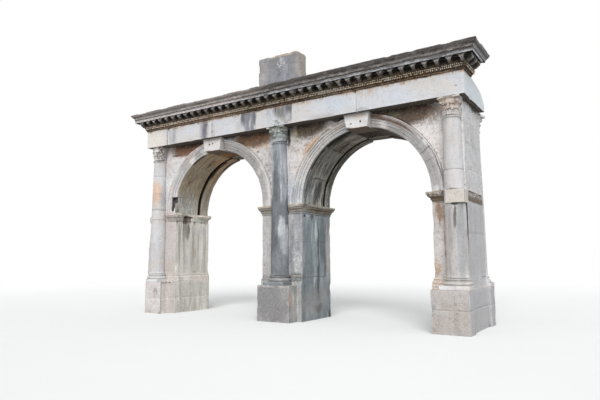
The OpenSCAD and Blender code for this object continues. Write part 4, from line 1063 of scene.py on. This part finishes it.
def wear(bm, look, number=0, seams=()):
    # eats the stone inwards: sway over the whole face, more at arrises, chips and joints
    look = {**plainWear, **look}
    number += look["seed"]
    bm.normal_update()
    joint = bm.verts.layers.float.new("joint")
    worn = bm.verts.layers.float.new("worn")
    tone = bm.verts.layers.float.new("tone")
    seed = Vector((number * 3.1, number * 1.7, 5.0))
    moves = []
    for vert in bm.verts:
        place = vert.co
        corner = max((edge.calc_face_angle_signed(0.0) for edge in vert.link_edges
                      if len(edge.link_faces) == 2), default=0.0)
        corner = clamp((corner - look["arrisFrom"]) / look["arrisOver"])
        slow = 0.5 + 0.5 * noise.noise(place * look["slow"] + seed)
        quick = 0.5 + 0.5 * noise.noise(place * look["quick"] + seed)
        chip = max(0.0, noise.noise(place * look["chips"] + seed * 2) - look["chipFrom"])
        pit = max(0.0, noise.noise(place * look["pits"] - seed) - look["pitFrom"])
        depth = look["sway"] * slow + look["rough"] * quick + look["pit"] * pit
        depth += corner * (look["arris"] * (0.25 + quick) + look["chip"] * chip * 2.0)
        for line in seams:
            off = abs((place - line["point"]).dot(line["along"]))
            if off < touch and within(place, line):
                vert[joint] = 1.0
                depth += look["joint"]
        vert[worn] = corner * quick
        vert[tone] = blockTone(place, seams, number)
        moves.append((vert, vert.normal * -min(depth, look["most"])))
    for vert, move in moves:
        for axis, at in look["hold"]:
            if abs(vert.co[axis] - at) < touch:
                move[axis] = 0.0
        vert.co += move


def darken(bm, hidden):
    # marks the faces that lie deep in a slot, where soot and shade have gathered
    bm.normal_update()
    deep = bm.faces.layers.float.new("deep")
    for face in bm.faces:
        face[deep] = 1.0 if hidden(face.calc_center_median(), face.normal) else 0.0


crease = 38.0  # degrees; a sharper fold shows as an arris


def finishPiece(name, bm, finish, *nodes):
    mesh = bpy.data.meshes.new(name)
    bm.normal_update()
    for face in bm.faces:
        face.smooth = True
    bm.to_mesh(mesh)
    bm.free()
    mesh.set_sharp_from_angle(angle=math.radians(crease))
    mesh.materials.append(finishes[finish])
    piece = bpy.data.objects.new(name, mesh)
    scene.collection.objects.link(piece)
    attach(piece, "root")
    if nodes:
        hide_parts(*nodes)
    return piece


def newPiece(name, bm, finish):
    piece = finishPiece(name, bm, finish)


def roughOut(node, look, seams=()):
    # a copy of a node, cut along its joints and then into a grid that is fine enough to wear
    bm = nodeCopy(node)
    cutSeams(bm, seams)
    if "step" in look:
        cutEvery(bm, look["step"], look.get("axes", "xyz"))
    return bm


def dress(name, node, finish, look, number=0, seams=()):
    bm = roughOut(node, look, seams)
    wear(bm, look, number, seams)
    finishPiece(name, bm, finish, node)


def wallSeams(x0, x1, levels, spacing, shift=0.0):
    # level joints at the levels, upright joints staggered between them
    seams = [seam(across(2, z)) for z in levels[1:-1]]
    for i in range(len(levels) - 1):
        start = x0 + spacing * (0.5 if i % 2 else 1.0) + shift
        while start < x1 - 0.15:
            seams.append(seam(across(0, start), (-far, -far, levels[i]),
                              (far, far, levels[i + 1])))
            start += spacing
    return seams


# piers and what they stand on
pierWear = {"seed": 0, "sway": 0.004, "rough": 0.004, "arris": 0.004, "chip": 0.03,
            "pit": 0.03, "joint": 0.003, "step": 0.08, "joints": (2.22, 2.35, 2.48),
            "spacing": 1.9}
pedestalWear = {"seed": 10, "sway": 0.008, "rough": 0.006, "arris": 0.008, "chip": 0.04,
                "pit": 0.03, "joint": 0.005, "step": 0.09, "joints": (0.52, None, 0.58),
                "hold": held("ground", "pedestalTop")}
baseWear = {"seed": 20, "sway": 0.004, "rough": 0.004, "arris": 0.004, "chip": 0.05,
            "step": 0.09, "axes": "xy", "hold": held("pedestalTop", "pierBottom")}
impostWear = {"seed": 30, "sway": 0.006, "rough": 0.006, "arris": 0.006, "chip": 0.07,
              "chipFrom": 0.05, "step": 0.07, "axes": "xy"}
brokenCorner = {"x": 0.86, "y": -0.80, "reach": 0.20, "slabZ": 3.45, "below": 0.9,
                "slab": 0.15, "face": 0.002}  # of the centre impost, at the front right
flushJamb = {"y": -0.05, "full": 0.95, "fall": 1.5, "ragged": 0.3, "most": 0.8}


def sideLift(side):
    return gate["rightLift"] if side == "right" else 0.0


def makePiers():
    for i, side in enumerate(sides):
        top = gate["impostBottom"] + sideLift(side)
        seams = wallSeams(*gate["piers"][side],
                          (gate["pierBottom"], pierWear["joints"][i], top),
                          pierWear["spacing"])
        hold = ((2, gate["pierBottom"]), (2, top))
        dress("pierStones" + side.title(), "pier_" + side, side + "Stone",
              {**pierWear, "hold": hold}, i, seams)


def makePedestals():
    for i, side in enumerate(sides):
        joint = pedestalWear["joints"][i]
        seams = [seam(across(2, joint))] if joint else []
        dress("pedestalStones" + side.title(), "pedestal_" + side, side + "Stone",
              pedestalWear, i, seams)


def breakCorner(bm):
    # takes the front right corner of the centre impost off below its slab
    hole = brokenCorner
    jamb, face = gate["piers"]["centre"][1], gate["faceY"]
    for vert in bm.verts:
        away = math.hypot(vert.co.x - hole["x"], vert.co.y - hole["y"]) / hole["reach"]
        gone = clamp(1.25 - away) * hole["below" if vert.co.z < hole["slabZ"] else "slab"]
        if vert.co.x > jamb:
            vert.co.x -= (vert.co.x - jamb - hole["face"]) * gone
        if vert.co.y < -face:
            vert.co.y -= (vert.co.y + face + hole["face"]) * gone


def wearFlush(bm):
    # weathers the left impost almost flush on its jamb
    for vert in bm.verts:
        out = vert.co.x - gate["piers"]["left"][1]
        if out > 0.0:
            gone = (flushJamb["full"] - abs(vert.co.y - flushJamb["y"]) * flushJamb["fall"]
                    + flushJamb["ragged"] * noise.noise(vert.co * 6.0))
            vert.co.x -= out * clamp(gone * 1.4, flushJamb["most"])


def makeMouldings():
    for i, side in enumerate(sides):
        dress("baseCourse" + side.title(), "base_course_" + side, side + "Stone", baseWear, i)
        hold = held("impostBottom", "impostTop", lift=sideLift(side))
        bm = roughOut("impost_" + side, impostWear)
        wear(bm, {**impostWear, "hold": hold}, i)
        if side == "centre":
            breakCorner(bm)
        if side == "left":
            wearFlush(bm)
        finishPiece("imposts" + side.title(), bm, side + "Stone", "impost_" + side)


makePiers()
makePedestals()
makeMouldings()
print("piers, pedestals, base courses and imposts dressed")


# arches and spandrels
ringWear = {"seed": 40, "sway": 0.004, "rough": 0.004, "arris": 0.004, "chip": 0.03,
            "joint": 0.005, "most": 0.03, "turn": 2.6, "step": 0.11, "seamWidth": 0.006}
keystoneWear = {"seed": 50, "sway": 0.006, "rough": 0.004, "arris": 0.008, "chip": 0.05,
                "pit": 0.02, "step": 0.04, "hold": held("friezeBottom")}
spandrelWear = {"seed": 60, "sway": 0.008, "rough": 0.006, "arris": 0.005, "chip": 0.03,
                "pit": 0.05, "joint": 0.004, "step": 0.09, "spacing": 1.15, "shift": 0.1,
                "levels": (3.50, 4.14, 4.80, 5.36, 5.945),
                "hold": held("impostTop", "friezeBottom")}
archStones = {"left": (102.0, 114.5, 127.0, 139.5, 152.0, 164.5),  # joints, in degrees
              "right": (100.0, 112.0, 127.0, 142.0, 157.0, 170.0)}
archSlots = {"left": (0.29, 0.40), "right": (0.40, 0.51)}  # from front to back


def inSlot(side, place, normal, reach=0.06):
    x, z, radius = gate[side + "Arch"]
    low, high = archSlots[side]
    return (low < place.y < high and abs(normal.y) < 0.5
            and math.hypot(place.x - x, place.z - z) < radius + gate["ringHeight"] + reach)


def makeRing(side, place):
    x, z = gate[side + "Arch"][:2]
    node = f"arch_ring_{place}_{side}"
    back = 1.0 if place == "front" else -1.0
    seams = [seam(around(x, z, angle)) for at in archStones[side]
             for angle in (at, 180.0 - at)]
    bm = nodeCopy(node)
    cutSeams(bm, seams, ringWear["seamWidth"])
    for i in range(round(180 / ringWear["turn"])):
        cut(bm, *around(x, z, ringWear["turn"] * (i + 0.5)))
    cutEvery(bm, ringWear["step"], "y")
    # the faces that look into the slot between the rings are marked for painted shade and soot
    darken(bm, lambda centre, normal: normal.y * back > 0.5)
    wear(bm, ringWear, len(node), seams)
    finishPiece(f"archStones{place.title()}{side.title()}", bm, side + "RingStone", node)


def makeKeystone(side, place):
    z, radius = gate[side + "Arch"][1:]
    node = f"keystone_{place}_{side}"
    bm = nodeCopy(node)
    if place == "rear":  # cut flush with the crown, so that it doesn't show below it
        crown = (0, gate["faceY"] - 0.01, z + radius)
        cutOff(bm, (crown, (0, 0, 1)), (crown, (0, -0.29, 1)))
    cutEvery(bm, keystoneWear["step"])
    wear(bm, keystoneWear, len(node))
    finishPiece(f"keystone{place.title()}{side.title()}", bm, "keyStone", node)


def makeArches():
    for side in ("left", "right"):
        for place in ("front", "rear"):
            makeRing(side, place)
            makeKeystone(side, place)


def makeSpandrels():
    ends = (-gate["wallX"], gate["leftArch"][0], gate["rightArch"][0], gate["wallX"])
    for i, side in enumerate(sides):
        seams = wallSeams(ends[i], ends[i + 1], spandrelWear["levels"],
                          spandrelWear["spacing"], spandrelWear["shift"])
        bm = roughOut("spandrel_" + side, spandrelWear, seams)
        arches = ("left", "right") if side == "centre" else (side,)
        for arch in arches:
            middle = sum(archSlots[arch]) / 2
            for at in archSlots[arch]:
                cut(bm, *across(1, at), lambda centre: inSlot(
                    arch, Vector((centre.x, middle, centre.z)), Vector(), 0.12))
        # the faces in the slots are marked for painted shade and soot
        darken(bm, lambda centre, normal: any(
            inSlot(arch, centre, normal) for arch in arches))
        wear(bm, spandrelWear, i, seams)
        finishPiece("spandrelStones" + side.title(), bm, "wallStone", "spandrel_" + side)


makeArches()
makeSpandrels()
print("arches, keystones and spandrels dressed")


# half columns
columnBaseWear = {"seed": 70, "sway": 0.004, "rough": 0.003, "arris": 0.003, "chip": 0.03}
drumWear = {"seed": 80, "sway": 0.012, "rough": 0.004, "arris": 0.004, "chip": 0.03,
            "pit": 0.03, "step": 0.07, "axes": "z",
            "joints": ((2.55, 3.27, 3.62, 4.21, 4.85), (), (4.05,))}
capitalWear = {"seed": 90, "sway": 0.014, "rough": 0.024, "arris": 0.012, "chip": 0.08,
               "chipFrom": 0.0, "pit": 0.12, "step": 0.05, "core": 0.25,
               "lost": (0.95, 0.15, 0.20)}  # share of each one's spread that has gone
rearWear = {"seed": 100, "sway": 0.008, "rough": 0.004, "arris": 0.004, "chip": 0.04}
rearPieces = (("rearBases", "rear_column_bases", {}),
              ("rearDrums", "rear_column_shafts", {"step": 0.10, "axes": "z"}),
              ("rearCapitals", "rear_capitals", {}))
repairWear = {"seed": 105, "sway": 0.004, "rough": 0.003, "arris": 0.006, "chip": 0.02,
              "step": 0.05}


def loseLeaves(bm, x, lost):
    # draws what spreads in front of the wall back towards the core of the capital
    core, y = capitalWear["core"], gate["columnY"]
    for vert in bm.verts:
        out = math.hypot(vert.co.x - x, vert.co.y + y)
        if out > core and vert.co.y < -gate["faceY"] - 0.01:
            gone = lost * (0.8 + 0.8 * noise.noise(vert.co * 7.0))
            back = 1.0 - (out - core) * clamp(gone, 0.9) / out
            vert.co.x = x + (vert.co.x - x) * back
            vert.co.y = -y + (vert.co.y + y) * back


def makeColumns():
    for i, side in enumerate(sides):
        finish = "blueStone" if side == "centre" else "columnStone"
        dress("columnBase" + side.title(), "column_base_" + side, finish, columnBaseWear, i)
        seams = [seam(across(2, z)) for z in drumWear["joints"][i]]
        dress("columnDrums" + side.title(), "column_shaft_" + side, finish, drumWear, i, seams)
        bm = roughOut("capital_" + side, capitalWear)
        loseLeaves(bm, gate["columns"][i], capitalWear["lost"][i])
        wear(bm, capitalWear, i)
        finishPiece("capitalCarving" + side.title(), bm, finish, "capital_" + side)
    for i, (name, node, grid) in enumerate(rearPieces):
        dress(name, node, "columnStone", {**rearWear, **grid}, i)
    dress("repairBlock", "repair_block", "patchStone", repairWear)


makeColumns()
print("half columns dressed")


friezeWear = {"seed": 110, "sway": 0.008, "rough": 0.004, "arris": 0.010, "chip": 0.10,
              "pit": 0.02, "step": 0.08, "hold": held("friezeTop", "friezeBottom")}


def makeFrieze():
    for i, name in enumerate(("left_end", "left", "right", "right_end")):
        title = "".join(word.title() for word in name.split("_"))
        dress("frieze" + title, "frieze_" + name, "friezeStone", friezeWear, i)


makeFrieze()
print("frieze dressed")


# cornice
bracketLook = {
    "count": 19, "pitch": 0.31449, "endCount": 4, "endPitch": 0.312,
    "narrow": 0.080, "wide": 0.245, "flareFrom": 0.030, "top": 0.184, "out": 0.281,
    "side": ((0.094, 0.184), (0.094, 0.004), (0.135, 0.004), (0.165, 0.012), (0.195, 0.034),
             (0.222, 0.060), (0.250, 0.076), (0.272, 0.094), (0.281, 0.120), (0.276, 0.146),
             (0.268, 0.160), (0.276, 0.184)),  # out from the frieze, up from the brackets' foot
    "cuts": {0: (-0.28, 0.28), 2: (0.094, 0.122, 0.148, 0.168), 1: (-0.165, -0.222)},
    "faint": ((0.72, 0.12), (1.95, 0.20), (3.76, 0.16)),  # hollows filled with crust
    "brokenX": 5.2, "brokenY": -0.5,  # where the rear right corner has fallen
}
bracketWear = {"seed": 120, "sway": 0.004, "rough": 0.010, "arris": 0.004, "chip": 0.03,
               "most": 0.016}
bedWear = {"seed": 130, "sway": 0.004, "rough": 0.006, "arris": 0.004, "chip": 0.03,
           "step": 0.08, "axes": "xy", "hold": held("friezeTop", "bracketZ")}
coronaWear = {"seed": 131, "sway": 0.004, "rough": 0.005, "arris": 0.004, "chip": 0.03,
              "chipFrom": 0.3, "step": 0.08, "axes": "xy", "hold": held("cymaZ")}
cymaWear = {"seed": 132, "sway": 0.006, "rough": 0.010, "arris": 0.008, "chip": 0.07,
            "chipFrom": 0.22, "most": 0.035, "step": 0.07, "axes": "xy",
            "hold": held("cymaZ")}
bandWear = {"seed": 133, "sway": 0.004, "rough": 0.006, "arris": 0.006, "chip": 0.03,
            "step": 0.08}
bandLook = {
    "z": 6.780, "tall": 0.150,
    "runs": ((-5.904, 5.904, -1.334, -1.20), (-5.904, 5.40, 1.20, 1.334),
             (-5.904, -5.77, -1.20, 1.20), (5.77, 5.904, -1.20, -0.50)),  # x and y, from and to
}


def bracketPlaces():
    # a place and a turn for each bracket; none over the broken rear right corner
    places = []
    x, y = gate["friezeX"], gate["friezeY"]
    for i in range(bracketLook["count"]):
        for sign in (-1, 1):
            at = sign * (i + 0.5) * bracketLook["pitch"]
            places.append((at, -y, 0.0))
            if at < bracketLook["brokenX"]:
                places.append((at, y, math.pi))
    for i in range(-bracketLook["endCount"], bracketLook["endCount"] + 1):
        at = i * bracketLook["endPitch"]
        places.append((-x, at, -math.pi / 2))
        if at < bracketLook["brokenY"]:
            places.append((x, at, math.pi / 2))
    return places


def bracketShape():
    bm = bmesh.new()
    face = bm.faces.new([bm.verts.new((-0.5, -out, up)) for out, up in bracketLook["side"]])
    made = bmesh.ops.extrude_face_region(bm, geom=[face])["geom"]
    bmesh.ops.translate(bm, verts=[part for part in made if isinstance(part, bmesh.types.BMVert)],
                        vec=(1.0, 0.0, 0.0))
    bmesh.ops.recalc_face_normals(bm, faces=bm.faces)
    for axis, places in bracketLook["cuts"].items():
        for at in places:
            cut(bm, *across(axis, at))
    mesh = bpy.data.meshes.new("bracketShape")
    bm.to_mesh(mesh)
    bm.free()
    return mesh


def addCopy(bm, mesh):
    # adds a mesh and gives its new points
    start = len(bm.verts)
    bm.from_mesh(mesh)
    bm.verts.ensure_lookup_table()
    return bm.verts[start:]


def makeBrackets():
    shape = bracketShape()
    bm = bmesh.new()
    shade = bm.verts.layers.float.new("deep")
    narrow, wide, most = [bracketLook[key] for key in ("narrow", "wide", "out")]
    for x, y, turn in bracketPlaces():
        worn = chance.uniform(0.93, 1.0)
        broad = chance.uniform(0.85, 1.15)
        put = Matrix.Translation((x, y, gate["bracketZ"])) @ Matrix.Rotation(turn, 4, "Z")
        faint = 0.45 if turn == 0.0 and any(
            abs(x - at) < reach for at, reach in bracketLook["faint"]) else 1.0
        for vert in addCopy(bm, shape):
            out, up = -vert.co.y, vert.co.z
            rise = clamp((up - bracketLook["flareFrom"])
                         / (bracketLook["top"] - bracketLook["flareFrom"]))
            width = narrow * broad + (wide - narrow) * rise ** 2
            front = most - 0.19 * max(0.0, 0.10 - up) / 0.10
            inner = clamp((front - out - 0.012) / 0.05)
            # the deep mark paints shade and soot into the hollows between the brackets, less
            # where crust fills them
            vert[shade] = inner * 0.9 * faint * (1.0 if abs(vert.co.x) > 0.4 else 0.35)
            vert.co = put @ Vector((vert.co.x * width, -min(out, most * worn), up))
    bpy.data.meshes.remove(shape)
    wear(bm, bracketWear)
    newPiece("brackets", bm, "bracketStone")


def makeBand():
    # the dark band behind the brackets, on the sides that still stand; its near-black finish is
    # painted shadow and soot
    bm = bmesh.new()
    for x0, x1, y0, y1 in bandLook["runs"]:
        middle = ((x0 + x1) / 2, (y0 + y1) / 2, bandLook["z"])
        bmesh.ops.create_cube(bm, size=1.0, matrix=Matrix.Translation(middle)
                              @ Matrix.Diagonal((x1 - x0, y1 - y0, bandLook["tall"], 1)))
    cutEvery(bm, bandWear["step"], "xy")
    wear(bm, bandWear)
    newPiece("bracketBand", bm, "hollowStone")


def makeCornice():
    dress("bedMoulding", "bed_moulding", "carvedStone", bedWear)
    bm = nodeCopy("corona_with_brackets")
    cutOff(bm, ((0, 0, gate["coronaZ"] - 0.0005), (0, 0, 1)))
    cutEvery(bm, coronaWear["step"], coronaWear["axes"])
    wear(bm, coronaWear)
    finishPiece("corona", bm, "coronaStone", "corona_with_brackets")
    makeBrackets()
    makeBand()
    dress("cyma", "cyma", "cymaStone", cymaWear)


eggLook = {"perBracket": 6, "rows": ((6.690, 0.092), (6.640, 0.078)), "radius": 0.019,
           "tall": 1.25, "lost": 0.18, "brokenX": -5.2, "brokenY": -0.45}
eggWear = {"seed": 140, "sway": 0.003, "rough": 0.004, "arris": 0.0, "chip": 0.0}


def makeEggs():
    bm = bmesh.new()
    bmesh.ops.create_uvsphere(bm, u_segments=6, v_segments=4, radius=1.0)
    bead = bpy.data.meshes.new("bead")
    bm.to_mesh(bead)
    bm.clear()
    x, y = gate["friezeX"], gate["friezeY"]
    long, short = bracketLook["pitch"], bracketLook["endPitch"]
    for half, pitch, turn, edge, low, high in (
            (x, long, 0.0, y, -far, far), (x, long, math.pi, y, eggLook["brokenX"], far),
            (y, short, -math.pi / 2, x, -far, far),
            (y, short, math.pi / 2, x, -far, eggLook["brokenY"])):
        step = pitch / eggLook["perBracket"]
        count = int(half / step)
        for height, out in eggLook["rows"]:
            for i in range(-count, count + 1):
                if not low < i * step < high or chance.random() < eggLook["lost"]:
                    continue
                size = eggLook["radius"] * chance.uniform(0.75, 1.0)
                put = (Matrix.Rotation(turn, 4, "Z") @ Matrix.Translation(
                    (i * step, -edge - out, height + chance.uniform(-0.004, 0.004)))
                    @ Matrix.Diagonal((size, size, size * eggLook["tall"], 1)))
                for vert in addCopy(bm, bead):
                    vert.co = put @ vert.co
    bpy.data.meshes.remove(bead)
    wear(bm, eggWear)
    newPiece("eggBand", bm, "beadStone")


makeCornice()
makeEggs()
print("cornice carved")


# slab on top and stump at the left end
slabWear = {"seed": 150, "sway": 0.020, "rough": 0.008, "arris": 0.016, "chip": 0.06,
            "pit": 0.03, "step": 0.06, "hold": held("corniceTop")}
stumpWear = {"seed": 151, "sway": 0.020, "rough": 0.012, "arris": 0.016, "chip": 0.08,
             "pit": 0.05, "step": 0.08, "hold": held("ground") + ((0, -gate["wallX"]),)}
dress("slabOnTop", "top_slab", "slabStone", slabWear)
dress("stumpStones", "wall_stub", "leftStone", stumpWear)
print("slab and stump dressed")
